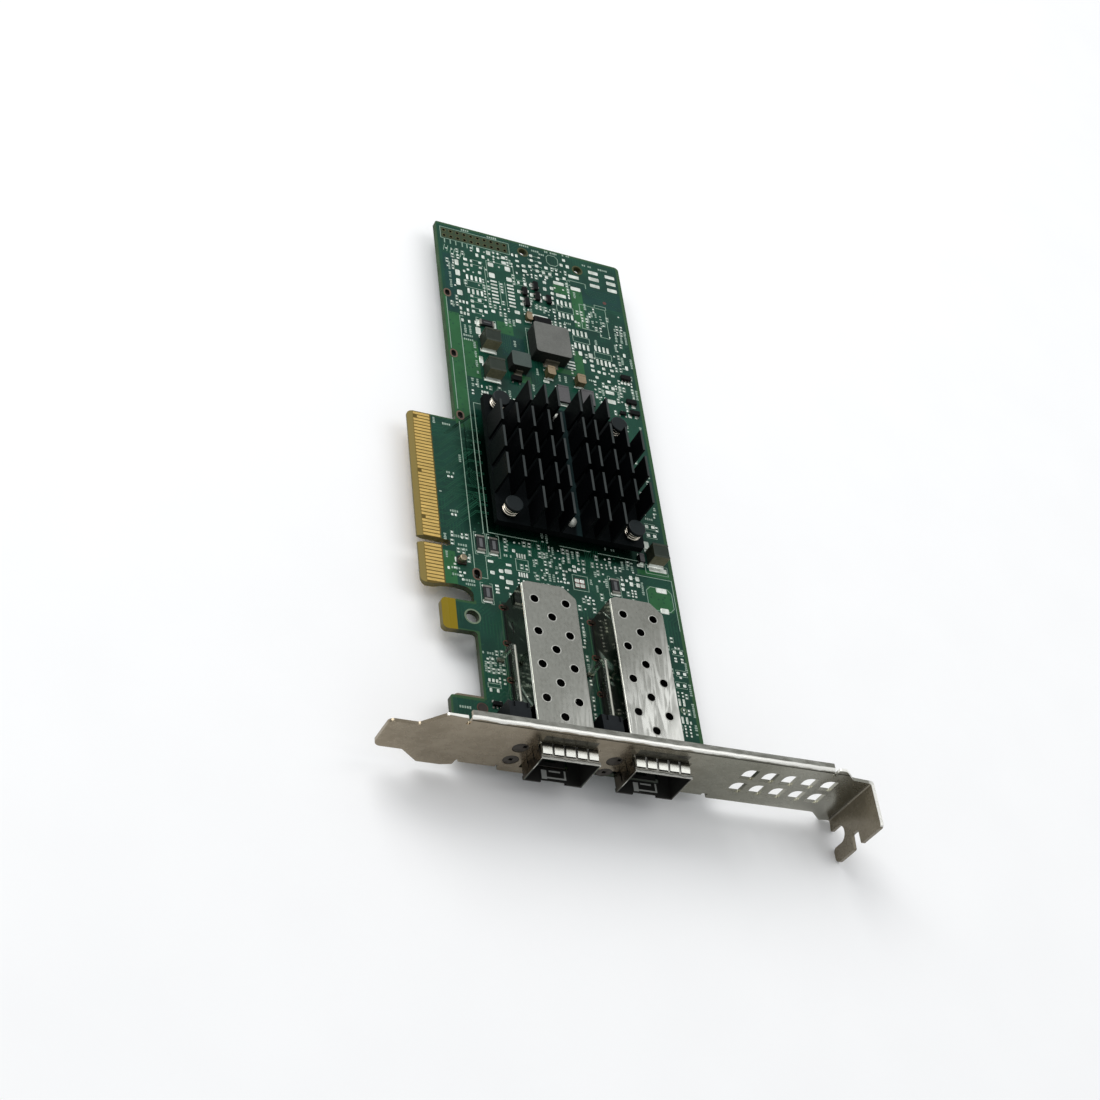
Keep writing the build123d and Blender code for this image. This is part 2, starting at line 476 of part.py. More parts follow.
def sot(cx, cy, along_y, two_side, n2=2, n1=1, length=2.9, width=1.35, h=1.0):
    """Small moulded transistor: body and gull-wing leads. two_side is the sign of the side with n2 leads."""
    body, leads = [], []
    L, W = length / 2, width / 2
    pitch = 0.95
    body.append(lambda f: f(-L, L, -W, W, 0.12, h))
    for side, n in ((two_side, n2), (-two_side, n1)):
        step = 1.9 if n == 2 else pitch
        for i in range(n):
            u = (i - (n - 1) / 2) * step
            a, b = sorted((side * W, side * (W + 0.55)))
            leads.append(lambda f, u=u, a=a, b=b: f(u - 0.22, u + 0.22, a, b, 0.0, 0.16))
    if along_y:
        def f(u0, u1, v0, v1, z0, z1):
            return box(cx + v0, cx + v1, cy + u0, cy + u1, z0, z1)
    else:
        def f(u0, u1, v0, v1, z0, z1):
            return box(cx + u0, cx + u1, cy + v0, cy + v1, z0, z1)
    return [g(f) for g in body], [g(f) for g in leads]


small_parts = [
    (37.45, 90.30, True, 1, 2, 1), (41.00, 93.40, True, -1, 2, 1), (41.20, 89.60, True, -1, 2, 1),
    (37.75, 86.40, True, 1, 2, 1), (44.60, 89.40, True, 1, 2, 1),
    (64.80, 66.80, False, -1, 3, 3), (65.30, 58.40, False, -1, 2, 1), (65.70, 54.70, False, -1, 2, 1),
    (15.85, -43.35, False, -1, 3, 2),
]
bodies, leads = [], []
for cx, cy, ay, side, n2, n1 in small_parts:
    b, l = sot(cx, cy, ay, side, n2, n1, length=2.3 if cy < -40 else 2.9, width=1.0 if cy < -40 else 1.35, h=0.9)
    bodies += b
    leads += l
b, l = sot(62.15, 53.85, False, -1, 2, 1, length=1.7, width=1.0, h=0.7)
bodies += b
leads += l
b, l = sot(31.45, 57.35, False, -1, 2, 1, length=2.8, width=1.6, h=1.0)
bodies += b
leads += l
keep("transistor_bodies", bodies)
keep("transistor_leads", leads)

power = box(38.9, 43.95, 77.6, 81.3, 0.1, 1.6)
power = chamfer(power.edges().group_by(Axis.Z)[-1], 0.35)
keep("power_transistor_body", power)
keep("power_transistor_leads", [box(39.6 + 1.27 * i - 0.2, 39.6 + 1.27 * i + 0.2, 81.3, 82.3, 0, 0.2) for i in range(4)])

can = Pos(10.6, -4.7, 0.5 + 0.65) * Cylinder(0.95, 1.3)
can = fillet(can.edges().group_by(Axis.Z)[-1], 0.3)
keep("can_capacitor_case", can)
keep("can_capacitor_base", plate_z([(9.5, -5.85, 0.1), (11.75, -5.85, 0.1), (11.75, -3.55, 0.5), (9.5, -3.55, 0.5)], 0, 0.5))

# solder side: rows of small capacitors under the chip and behind the edge contacts
spots = [(28.0 + 4.5 * i, 15.5 + 7.3 * j) for i in range(6) for j in range(4)]
spots += [(9.5, 3.0 + 4.0 * i) for i in range(8)]
bodies, caps = [], []
zb = -BOARD_T
for x, y in spots:
    bodies.append(box(x - 0.5, x + 0.5, y - 0.4, y + 0.4, zb - 0.70, zb))
    caps.append(box(x - 0.8, x - 0.5, y - 0.4, y + 0.4, zb - 0.72, zb))
    caps.append(box(x + 0.5, x + 0.8, y - 0.4, y + 0.4, zb - 0.72, zb))
keep("solder_side_capacitor_bodies", bodies)
keep("solder_side_capacitor_end_caps", caps)

# ---------------------------------------------------------------- write the parts
os.makedirs("parts", exist_ok=True)
shift = Location(ORIGIN)
for name, solids in parts.items():
    moved = [s.moved(shift) for s in solids]
    shape = moved[0] if len(moved) == 1 else Compound(children=moved)
    export_step(shape, "parts/" + name + ".step")
print(len(parts), "parts written, origin shift", ORIGIN)
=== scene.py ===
"""Finishes, board print, solder and light for the two-port network card.

Lengths in the tables are millimetres in the part's working frame: X from the
tongue's outer edge, Y from the key notch, Z from the board's upper face.
"""

import json
import math
import random

import bmesh
import bpy
from mathutils import Matrix, Vector


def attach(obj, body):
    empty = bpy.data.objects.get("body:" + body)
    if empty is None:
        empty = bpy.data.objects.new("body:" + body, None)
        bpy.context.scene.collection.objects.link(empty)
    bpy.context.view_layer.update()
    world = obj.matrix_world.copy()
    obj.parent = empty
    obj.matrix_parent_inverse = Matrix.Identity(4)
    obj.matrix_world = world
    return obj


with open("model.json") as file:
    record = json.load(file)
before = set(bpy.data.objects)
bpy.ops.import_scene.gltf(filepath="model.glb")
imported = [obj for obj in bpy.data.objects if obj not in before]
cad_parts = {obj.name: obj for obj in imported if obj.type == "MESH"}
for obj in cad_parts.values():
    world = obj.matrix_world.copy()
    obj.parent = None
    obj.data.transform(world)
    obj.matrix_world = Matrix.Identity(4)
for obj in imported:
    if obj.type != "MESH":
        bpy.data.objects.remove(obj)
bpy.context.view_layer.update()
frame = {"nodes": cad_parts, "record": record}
NODES = frame["nodes"]
SHIFT = (45.355, 20.075, -6.3)
BOARD_T = 1.57
EDGE_X = 12.9
dice = random.Random(11)


def at(x, y, z):
    return Vector(((x - SHIFT[0]) / 1000, (y - SHIFT[1]) / 1000, (z - SHIFT[2]) / 1000))


# ------------------------------------------------------------------ materials
class Look:
    """One node-based finish."""

    def __init__(self, name, metallic=0.0, ior=1.5, coat=0.0, coat_rough=0.1, spec=0.5):
        self.mat = bpy.data.materials.new(name)
        self.mat.use_nodes = True
        self.tree = self.mat.node_tree
        self.tree.nodes.clear()
        out = self.tree.nodes.new("ShaderNodeOutputMaterial")
        self.bsdf = self.tree.nodes.new("ShaderNodeBsdfPrincipled")
        self.tree.links.new(self.bsdf.outputs[0], out.inputs[0])
        self.bsdf.inputs["Metallic"].default_value = metallic
        self.bsdf.inputs["IOR"].default_value = ior
        self.bsdf.inputs["Coat Weight"].default_value = coat
        self.bsdf.inputs["Coat Roughness"].default_value = coat_rough
        self.bsdf.inputs["Specular IOR Level"].default_value = spec
        self.coord = self.tree.nodes.new("ShaderNodeTexCoord").outputs["Object"]

    def put(self, socket, value):
        if isinstance(value, bpy.types.NodeSocket):
            self.tree.links.new(value, socket)
        else:
            socket.default_value = value

    def stretched(self, stretch=(1, 1, 1), turn=0.0, move=(0, 0, 0)):
        n = self.tree.nodes.new("ShaderNodeMapping")
        self.tree.links.new(self.coord, n.inputs["Vector"])
        n.inputs["Scale"].default_value = stretch
        n.inputs["Rotation"].default_value = (0, 0, turn)
        n.inputs["Location"].default_value = move
        return n.outputs[0]

    def slanted(self, turn, stretch, move=(0, 0, 0)):
        """Coordinate turned by Euler angles first and stretched afterwards."""
        a = self.tree.nodes.new("ShaderNodeMapping")
        self.tree.links.new(self.coord, a.inputs["Vector"])
        a.inputs["Rotation"].default_value = turn
        b = self.tree.nodes.new("ShaderNodeMapping")
        self.tree.links.new(a.outputs[0], b.inputs["Vector"])
        b.inputs["Scale"].default_value = stretch
        b.inputs["Location"].default_value = move
        return b.outputs[0]

    def streaks(self, scale, turn, stretch, detail=2.0, distort=0.0, move=(0, 0, 0)):
        n = self.tree.nodes.new("ShaderNodeTexNoise")
        self.tree.links.new(self.slanted(turn, stretch, move), n.inputs["Vector"])
        n.inputs["Scale"].default_value = scale
        n.inputs["Detail"].default_value = detail
        n.inputs["Distortion"].default_value = distort
        return n.outputs["Fac"]

    def noise(self, scale, detail=2.0, rough=0.5, stretch=(1, 1, 1), turn=0.0, move=(0, 0, 0), distort=0.0):
        n = self.tree.nodes.new("ShaderNodeTexNoise")
        self.tree.links.new(self.stretched(stretch, turn, move), n.inputs["Vector"])
        n.inputs["Scale"].default_value = scale
        n.inputs["Detail"].default_value = detail
        n.inputs["Roughness"].default_value = rough
        n.inputs["Distortion"].default_value = distort
        return n.outputs["Fac"]

    def wave(self, scale, turn=0.0, distort=0.0, detail=0.0, move=(0, 0, 0)):
        n = self.tree.nodes.new("ShaderNodeTexWave")
        n.wave_type = "BANDS"
        n.bands_direction = "X"
        self.tree.links.new(self.stretched(turn=turn, move=move), n.inputs["Vector"])
        n.inputs["Scale"].default_value = scale
        n.inputs["Distortion"].default_value = distort
        n.inputs["Detail"].default_value = detail
        return n.outputs["Fac"]

    def ramp(self, fac, stops, mode="LINEAR"):
        n = self.tree.nodes.new("ShaderNodeValToRGB")
        n.color_ramp.interpolation = mode
        e = n.color_ramp.elements
        while len(e) < len(stops):
            e.new(0.5)
        for k, (pos, col) in enumerate(stops):
            e[k].position = pos
            e[k].color = (col, col, col, 1) if isinstance(col, (int, float)) else (*col, 1)
        self.put(n.inputs["Fac"], fac)
        return n.outputs["Color"]

    def span(self, value, a, b, lo=0.0, hi=1.0, smooth=True):
        n = self.tree.nodes.new("ShaderNodeMapRange")
        n.interpolation_type = "SMOOTHSTEP" if smooth else "LINEAR"
        self.put(n.inputs["Value"], value)
        n.inputs["From Min"].default_value = a
        n.inputs["From Max"].default_value = b
        n.inputs["To Min"].default_value = lo
        n.inputs["To Max"].default_value = hi
        return n.outputs["Result"]

    def sum(self, op, a, b=0.0):
        n = self.tree.nodes.new("ShaderNodeMath")
        n.operation = op
        self.put(n.inputs[0], a)
        self.put(n.inputs[1], b)
        return n.outputs[0]

    def mix(self, fac, a, b, mode="MIX"):
        n = self.tree.nodes.new("ShaderNodeMix")
        n.data_type = "RGBA"
        n.blend_type = mode
        self.put(n.inputs[0], fac)
        for slot, v in ((n.inputs[6], a), (n.inputs[7], b)):
            if isinstance(v, (int, float)):
                v = (v, v, v)
            self.put(slot, (*v, 1) if isinstance(v, tuple) else v)
        return n.outputs[2]

    def bump(self, height, distance, strength=1.0, under=None):
        n = self.tree.nodes.new("ShaderNodeBump")
        n.inputs["Strength"].default_value = strength
        n.inputs["Distance"].default_value = distance
        self.put(n.inputs["Height"], height)
        if under is not None:
            self.put(n.inputs["Normal"], under)
        return n.outputs["Normal"]

    def facing(self):
        g = self.tree.nodes.new("ShaderNodeNewGeometry")
        s = self.tree.nodes.new("ShaderNodeSeparateXYZ")
        self.tree.links.new(g.outputs["Normal"], s.inputs[0])
        return s.outputs

    def normal_z(self):
        return self.facing()[2]

    def work(self):
        """Working-frame millimetres of the shaded point."""
        x, y, z = self.place()
        return [self.sum("ADD", self.sum("MULTIPLY", v, 1000.0), d) for v, d in zip((x, y, z), SHIFT)]

    def within(self, v, a, b, soft=0.05):
        return self.sum("MULTIPLY", self.span(v, a - soft, a + soft), self.span(v, b - soft, b + soft, 1.0, 0.0))

    def all(self, *masks):
        out = masks[0]
        for m in masks[1:]:
            out = self.sum("MULTIPLY", out, m)
        return out

    def place(self):
        s = self.tree.nodes.new("ShaderNodeSeparateXYZ")
        self.tree.links.new(self.coord, s.inputs[0])
        return s.outputs

    def finish(self, color, rough, normal=None):
        self.put(self.bsdf.inputs["Base Color"], color if not isinstance(color, tuple) else (*color, 1))
        self.put(self.bsdf.inputs["Roughness"], rough)
        if normal is not None:
            self.put(self.bsdf.inputs["Normal"], normal)
        return self.mat


def shade(c, k):
    return tuple(min(1.0, v * k) for v in c)


def plastic(name, color, rough=0.45, grain=2600, depth=0.00001, spread=0.25, coat=0.0, top=None, spec=0.35, metallic=0.0):
    k = Look(name, coat=coat, coat_rough=0.25, spec=spec, metallic=metallic)
    n = k.noise(grain, 4, 0.6)
    slow = k.noise(180, 3, 0.55, move=(0.3, 0.1, 0.7))
    col = k.ramp(slow, [(0.3, shade(color, 1 - spread)), (0.7, shade(color, 1 + spread))])
    # painted light: a given top colour makes the upward faces a lit copy, lighter than the darker sides
    if top is not None:
        up = k.ramp(slow, [(0.3, shade(top, 1 - spread * 0.5)), (0.7, shade(top, 1 + spread * 0.5))])
        speck = k.ramp(n, [(0.35, 0.86), (0.65, 1.1)])
        up = k.mix(1.0, up, speck, "MULTIPLY")
        col = k.mix(k.span(k.normal_z(), 0.55, 0.9), col, up)
    return k.finish(col, k.ramp(n, [(0.3, rough - 0.07), (0.7, rough + 0.09)]), k.bump(n, depth))


def metal(name, color, rough=0.3, streak=(1, 1, 1), scale=260, depth=0.000006, spread=0.12, grain=2400, wear=0.0):
    k = Look(name, metallic=1.0)
    slow = k.noise(90, 3, 0.6, move=(0.2, 0.5, 0.1))
    lay = k.noise(scale, 3, 0.55, stretch=streak)
    fine = k.noise(grain, 2, 0.5, stretch=streak)
    both = k.sum("MULTIPLY", k.sum("ADD", slow, lay), 0.5)
    col = k.ramp(both, [(0.32, shade(color, 1 - spread)), (0.68, shade(color, 1 + spread))])
    if wear:
        spots = k.noise(700, 2, 0.5, move=(0.9, 0.4, 0.2))
        col = k.mix(k.span(spots, 0.66, 0.74, 0.0, wear), col, shade(color, 0.55))
    r = k.ramp(k.sum("MULTIPLY", k.sum("ADD", fine, lay), 0.5), [(0.3, max(0.04, rough - 0.08)), (0.7, rough + 0.1)])
    nrm = k.bump(lay, depth * 4, 0.6)
    nrm = k.bump(fine, depth, 0.6, nrm)
    return k.finish(col, r, nrm)


def board_look():
    k = Look("solder_mask_green", spec=0.25)
    x, y, z = k.place()
    px, py, pz = k.work()
    nz = k.sum("ABSOLUTE", k.normal_z())

    def rect(x0, x1, y0, y1, soft=0.08):
        a = k.sum("MULTIPLY", k.span(px, x0 - soft, x0 + soft), k.span(px, x1 - soft, x1 + soft, 1.0, 0.0))
        b = k.sum("MULTIPLY", k.span(py, y0 - soft, y0 + soft), k.span(py, y1 - soft, y1 + soft, 1.0, 0.0))
        return k.sum("MULTIPLY", a, b)

    def both(masks):
        out = masks[0]
        for m in masks[1:]:
            out = k.sum("MAXIMUM", out, m)
        return out

    deep, mid, light = (0.0045, 0.040, 0.027), (0.006, 0.055, 0.033), (0.021, 0.108, 0.036)
    slow = k.noise(45, 2, 0.5, move=(0.1, 0.2, 0.3))
    mask = k.ramp(slow, [(0.38, deep), (0.62, mid)])
    # copper routing seen through the mask: fine parallel lines in the three board directions
    cell = k.noise(70, 0, 0.5, move=(0.5, 0.9, 0.0))
    d45 = k.wave(390, math.radians(45))
    d0 = k.wave(370, 0.0, move=(0.1, 0, 0))
    d90 = k.wave(380, math.radians(90))
    pick1 = k.span(cell, 0.47, 0.50)
    pick2 = k.span(cell, 0.56, 0.59)
    lines = k.mix(pick1, d0, d45)
    lines = k.mix(pick2, lines, d90)
    cover = k.span(k.noise(120, 1, 0.5, move=(0.3, 0.3, 0.0)), 0.46, 0.56)
    route = k.sum("MULTIPLY", k.span(lines, 0.55, 0.8), cover)
    mask = k.mix(k.sum("MULTIPLY", route, 0.30), mask, (0.012, 0.090, 0.042))
    # planes that show lighter, and the deeper areas
    light_zone = both([
        rect(14.1, 17.1, 36.8, 76.5), rect(17.4, 21.6, 55.0, 68.0), rect(52.0, 55.6, 82.0, 96.4),
        rect(47.0, 51.4, 93.4, 96.5), rect(50.0, 52.6, 65.0, 73.0), rect(44.0, 50.0, 63.6, 65.4),
        rect(28.0, 32.6, 73.0, 77.2), rect(6.1, 9.2, -12.0, -2.2), rect(58.6, 68.0, 1.4, 3.0),
        rect(60.6, 67.2, -8.8, -1.8, 0.3), rect(13.0, 13.9, 38.0, 83.0), rect(31.0, 36.0, 57.0, 59.4)])
    vary = k.ramp(k.noise(260, 2, 0.5), [(0.35, 0.86), (0.65, 1.1)])
    mask = k.mix(k.sum("MULTIPLY", light_zone, 0.92), mask, light)
    deep_zone = both([rect(55.9, 67.6, 92.0, 98.2, 0.2), rect(28.6, 35.4, 65.2, 72.6), rect(14.2, 17.2, 77.2, 98.0)])
    mask = k.mix(k.sum("MULTIPLY", deep_zone, 0.75), mask, (0.0045, 0.040, 0.036))
    mask = k.mix(1.0, mask, vary, "MULTIPLY")
    # mask pulled back from the outline: a band of bare weave under thin resin
    rim = both([rect(12.0, 13.25, 39.5, 111.0, 0.18), rect(67.95, 70.0, -60.0, 111.0, 0.16),
                rect(12.0, 69.0, 108.85, 112.0, 0.15), rect(3.0, 13.4, -16.5, -15.5, 0.12),
                rect(3.0, 13.4, -24.9, -24.0, 0.12), rect(12.0, 13.5, -42.5, -24.2, 0.12),
                rect(3.5, 13.0, -42.9, -42.0, 0.12), rect(3.5, 5.1, -57.2, -42.0, 0.12),
                rect(0.0, 13.0, 38.75, 39.6, 0.12), rect(5.6, 12.5, -12.6, -11.9, 0.12)])
    mask = k.mix(k.sum("MULTIPLY", rim, 0.8), mask, (0.032, 0.088, 0.030))
    header = rect(14.35, 34.1, 103.9, 107.5, 0.12)
    mask = k.mix(k.sum("MULTIPLY", header, 0.80), mask, (0.040, 0.056, 0.025))
    # painted shade: the board is darkened under the cages and beside the light pipes
    shade_under_cages = both([rect(19.9, 34.8, -57.2, -14.6, 0.25), rect(42.9, 57.8, -57.2, -14.6, 0.25)])
    upper = k.span(k.normal_z(), 0.3, 0.6)
    mask = k.mix(k.sum("MULTIPLY", shade_under_cages, k.sum("MULTIPLY", upper, 0.85)), mask, (0.0030, 0.0070, 0.0050))
    # painted shadow of the heatsink: the board is darkened beside it and along its near edge, and made metallic there
    # to take away its sheen
    sink_shadow_side = k.sum("MULTIPLY", upper, k.sum("MULTIPLY", k.span(px, 10.0, 18.6), k.span(px, 20.5, 21.5, 1.0, 0.0)))
    sink_shadow_side = k.sum("MULTIPLY", sink_shadow_side, k.sum("MULTIPLY", k.span(py, 0.5, 8.0), k.span(py, 33.0, 45.0, 1.0, 0.0)))
    sink_shadow_front = k.sum("MULTIPLY", rect(18.6, 60.4, 3.4, 14.0, 0.9), k.sum("MULTIPLY", upper, 0.80))
    sink_shadow = k.sum("MAXIMUM", sink_shadow_side, sink_shadow_front)
    mask = k.mix(k.sum("MULTIPLY", sink_shadow, 0.86), mask, (0.0010, 0.0160, 0.0075))
    k.put(k.bsdf.inputs["Metallic"], k.sum("MULTIPLY", sink_shadow, 0.90))
    # bare laminate
    weave = k.sum("MULTIPLY", k.wave(1250, 0.0), k.wave(1250, math.radians(90)))
    bare = k.ramp(weave, [(0.0, (0.172, 0.120, 0.009)), (0.9, (0.212, 0.152, 0.014))])
    gap = k.ramp(weave, [(0.0, (0.105, 0.070, 0.008)), (0.9, (0.135, 0.092, 0.013))])
    ear = k.ramp(weave, [(0.0, (0.215, 0.150, 0.001)), (0.9, (0.258, 0.185, 0.003))])
    mask = k.mix(rect(1.2, 6.05, -12.9, 39.4, 0.06), mask, gap)
    mask = k.mix(rect(-1.0, 1.38, -13.0, 40.0, 0.06), mask, bare)
    mask = k.mix(rect(4.0, 8.1, -25.0, -15.4, 0.05), mask, ear)
    # cut edge: layers of glass cloth and copper planes
    layer = k.sum("FRACT", k.sum("MULTIPLY", z, 1000.0 / 0.24), 0.0)
    side = k.ramp(layer, [(0.0, (0.100, 0.086, 0.024)), (0.5, (0.150, 0.130, 0.038)), (0.92, (0.112, 0.078, 0.020))])
    side = k.mix(1.0, side, k.ramp(k.noise(900, 3, 0.6), [(0.3, 0.8), (0.7, 1.12)]), "MULTIPLY")
    green_side = k.mix(k.sum("MULTIPLY", k.span(px, 6.0, 9.0), 0.93), side, (0.011, 0.024, 0.007))
    green_side = k.mix(k.sum("MULTIPLY", k.span(py, -41.0, -42.5), 0.93), green_side, (0.011, 0.024, 0.007))
    col = k.mix(k.span(nz, 0.35, 0.6), green_side, mask)
    rough = k.mix(k.span(px, 6.3, 6.0), k.ramp(k.noise(1500, 3, 0.6), [(0.3, 0.17), (0.7, 0.27)]), 0.45)
    height = k.sum("ADD", k.sum("MULTIPLY", route, 0.5), k.sum("MULTIPLY", k.noise(2200, 2, 0.5), 0.35))
    return k.finish(col, rough, k.bump(height, 0.00002, 0.7))


def cage_look():
    """Bright rolled sheet: matt on top with painted highlights, mirror-like on the walls with painted shade and
    reflection, painted shade within, dark at the pins.
    """
    k = Look("cage_sheet")
    px, py, pz = k.work()
    nx, ny, nz = k.facing()
    top = k.span(nz, 0.75, 0.95)
    waves = k.noise(190, 3, 0.62, stretch=(1.0, 0.16, 1.0), distort=0.6)
    slow = k.noise(55, 2, 0.5, stretch=(1.0, 0.5, 1.0), move=(0.4, 0.2, 0))
    fine = k.noise(1500, 3, 0.6, stretch=(1.0, 0.6, 1.0))
    both = k.sum("MULTIPLY", k.sum("ADD", slow, fine), 0.5)
    sheet = k.ramp(both, [(0.34, (0.325, 0.325, 0.285)), (0.66, (0.400, 0.405, 0.362))])
    # painted highlight: the right-hand cage's top grows near-white toward its near right corner in rippled bands, the
    # left-hand cage gets a weaker one, and the highlighted top is made less metallic
    right = k.span(px, 40.0, 41.0)
    bright_way = k.sum("ADD", k.sum("MULTIPLY", k.sum("SUBTRACT", px, 49.0), 0.055), k.sum("MULTIPLY", k.sum("SUBTRACT", -31.0, py), 0.050))
    left_way = k.sum("ADD", k.sum("MULTIPLY", k.sum("SUBTRACT", px, 29.0), 0.045), k.sum("MULTIPLY", k.sum("SUBTRACT", -42.0, py), 0.040))
    glow = k.mix(right, k.span(left_way, -0.3, 1.5), k.span(bright_way, -0.40, 0.95))
    ripple = k.span(k.streaks(620, (0, 0, 0.06), (1.0, 0.11, 1.0), 2.0, 1.6), 0.42, 0.60)
    lit = k.sum("MULTIPLY", glow, k.span(ripple, 0.0, 1.0, 0.38, 1.0, smooth=False))
    corner = k.sum("ADD", k.sum("MULTIPLY", k.sum("SUBTRACT", px, 50.0), 0.12), k.sum("MULTIPLY", k.sum("SUBTRACT", -47.0, py), 0.085))
    corner = k.all(k.span(corner, 0.0, 0.95), right)
    lit = k.sum("MAXIMUM", lit, k.sum("MULTIPLY", corner, k.span(ripple, 0.0, 1.0, 0.85, 1.0, smooth=False)))
    sheet = k.mix(lit, sheet, (0.93, 0.93, 0.87))
    # painted shade and reflection on the walls: a dark green-tinted copy of the sheet with lighter streaks, painted
    # glints above the foot, and a painted highlight on the rounded top edge
    painted_streak = k.span(k.streaks(340, (0.75, 0, 0), (1.0, 0.22, 1.0), 3.0, 1.2), 0.46, 0.70)
    glint = k.span(k.streaks(260, (0.60, 0, 0), (1.0, 0.16, 1.0), 2.0, 0.8, (0.3, 0.7, 0.1)), 0.60, 0.68)
    walls = k.mix(painted_streak, k.mix(right, (0.026, 0.039, 0.024), (0.038, 0.037, 0.026)), k.mix(right, (0.105, 0.150, 0.098), (0.150, 0.150, 0.108)))
    walls = k.mix(k.sum("MULTIPLY", glint, k.span(pz, 1.2, 3.0)), walls, (0.88, 0.88, 0.80))
    fold_highlight = k.all(k.span(nz, 0.75, 0.55), k.span(nz, 0.06, 0.16), k.span(pz, 9.3, 9.5))
    walls = k.mix(fold_highlight, walls, (0.86, 0.86, 0.80))
    walls = k.mix(k.all(k.span(nx, 0.5, 0.8), k.span(pz, 0.6, 0.9)), walls, k.mix(painted_streak, (0.23, 0.228, 0.20), (0.30, 0.298, 0.265)))
    col = k.mix(top, walls, sheet)
    # painted shade: the faces within each cage are near-black and matt
    inside_shade = k.sum("MINIMUM", 1.0, k.sum("ADD", k.all(k.within(px, 20.42, 34.28, 0.03), k.within(pz, 0.22, 9.68, 0.03)),
                                         k.all(k.within(px, 43.42, 57.28, 0.03), k.within(pz, 0.22, 9.68, 0.03))))
    col = k.mix(inside_shade, col, (0.012, 0.012, 0.010))
    foot = k.span(pz, 0.62, 0.52)
    out = k.all(foot, k.sum("SUBTRACT", 1.0, inside_shade))
    col = k.mix(k.sum("MULTIPLY", out, 0.94), col, (0.020, 0.013, 0.009))
    # painted shade on the side faces just under the collar
    shade_under_collar = k.all(k.span(py, -58.25, -58.40), k.span(k.sum("ABSOLUTE", nx), 0.6, 0.8), k.sum("SUBTRACT", 1.0, inside_shade))
    col = k.mix(k.sum("MULTIPLY", shade_under_collar, 0.93), col, (0.006, 0.005, 0.004))
    # painted light: the latch bars in the floor of the mouth are painted pale and matt
    latch_lit = k.all(k.within(pz, 0.42, 0.60, 0.03), k.span(py, -58.0, -58.3), k.span(nz, 0.4, 0.7))
    col = k.mix(latch_lit, col, (0.46, 0.47, 0.44))
    matt = k.sum("ADD", latch_lit, k.sum("ADD", k.sum("MULTIPLY", inside_shade, 0.6), k.sum("MULTIPLY", k.sum("MULTIPLY", lit, top), 0.55)))
    k.put(k.bsdf.inputs["Metallic"], k.sum("SUBTRACT", 1.0, k.sum("MINIMUM", 1.0, matt)))
    r_top = k.ramp(k.sum("MULTIPLY", k.sum("ADD", waves, fine), 0.5), [(0.35, 0.24), (0.65, 0.36)])
    r_wall = k.ramp(fine, [(0.35, 0.07), (0.65, 0.14)])
    rough = k.mix(top, r_wall, r_top)
    rough = k.mix(inside_shade, rough, 0.6)
    nrm = k.bump(slow, 0.0009, 0.5)
    nrm = k.bump(waves, 0.00016, 0.6, nrm)
    nrm = k.bump(fine, 0.000004, 0.5, nrm)
    return k.finish(col, rough, nrm)


def collar_look():
    """Spring sheet: painted light on the finger pads over painted shade on the sides, a painted shadow line at the back
    of the rim, painted shade and a painted highlight at the back of the pads.
    """
    k = Look("collar_spring_sheet", metallic=1.0)
    px, py, pz = k.work()
    nx, ny, nz = k.facing()
    n = k.noise(500, 3, 0.6, stretch=(1, 0.5, 1))
    wander = k.noise(420, 2, 0.5, stretch=(1, 0.01, 0.01), move=(0.2, 0.6, 0.1))
    # painted light and shade: upward faces take a bright copy of the sheet, the sides a dark brown one
    top = k.ramp(n, [(0.3, (0.56, 0.56, 0.52)), (0.7, (0.66, 0.66, 0.61))])
    side = k.ramp(n, [(0.3, (0.085, 0.069, 0.050)), (0.7, (0.17, 0.143, 0.106))])
    col = k.mix(k.span(nz, 0.55, 0.85), side, top)
    up = k.span(nz, 0.55, 0.85)
    # painted shadow: a near-black line in the gap between the pads and the rim
    painted_streak = k.all(k.within(py, -60.85, -60.57, 0.03), k.span(pz, 9.6, 9.75))
    col = k.mix(painted_streak, col, (0.008, 0.008, 0.007))
    # a thin wavy dark line across the upward faces of the rim
    bend = k.sum("ADD", py, k.sum("MULTIPLY", k.sum("SUBTRACT", wander, 0.5), 1.3))
    rim_dark_line = k.all(k.within(bend, -61.42, -61.26, 0.05), up, k.span(py, -60.84, -60.9))
    col = k.mix(k.sum("MULTIPLY", rim_dark_line, 0.85), col, (0.030, 0.029, 0.025))
    # painted shade at the back of the pads, where the fingers dive under the plate
    shade_behind_pads = k.all(k.span(py, -58.98, -58.90), k.span(pz, 9.2, 9.5))
    col = k.mix(k.sum("MULTIPLY", shade_behind_pads, 0.9), col, (0.042, 0.037, 0.026))
    # painted highlight: a pale line at the back edge of the pads
    ridge_highlight = k.all(k.within(py, -59.05, -58.93, 0.02), k.span(pz, 9.2, 9.5))
    col = k.mix(ridge_highlight, col, (0.42, 0.41, 0.36))
    # painted light and shade on the front faces: a bright band along the top of the rim, a darker copy below
    front = k.span(ny, -0.6, -0.85)
    col = k.mix(front, col, k.mix(k.span(pz, 9.2, 9.6), (0.20, 0.195, 0.165), (0.72, 0.71, 0.64)))
    low = k.span(pz, 0.6, 0.2)
    col = k.mix(low, col, (0.035, 0.033, 0.027))
    return k.finish(col, k.ramp(n, [(0.3, 0.16), (0.7, 0.28)]), k.bump(n, 0.00001, 0.5))


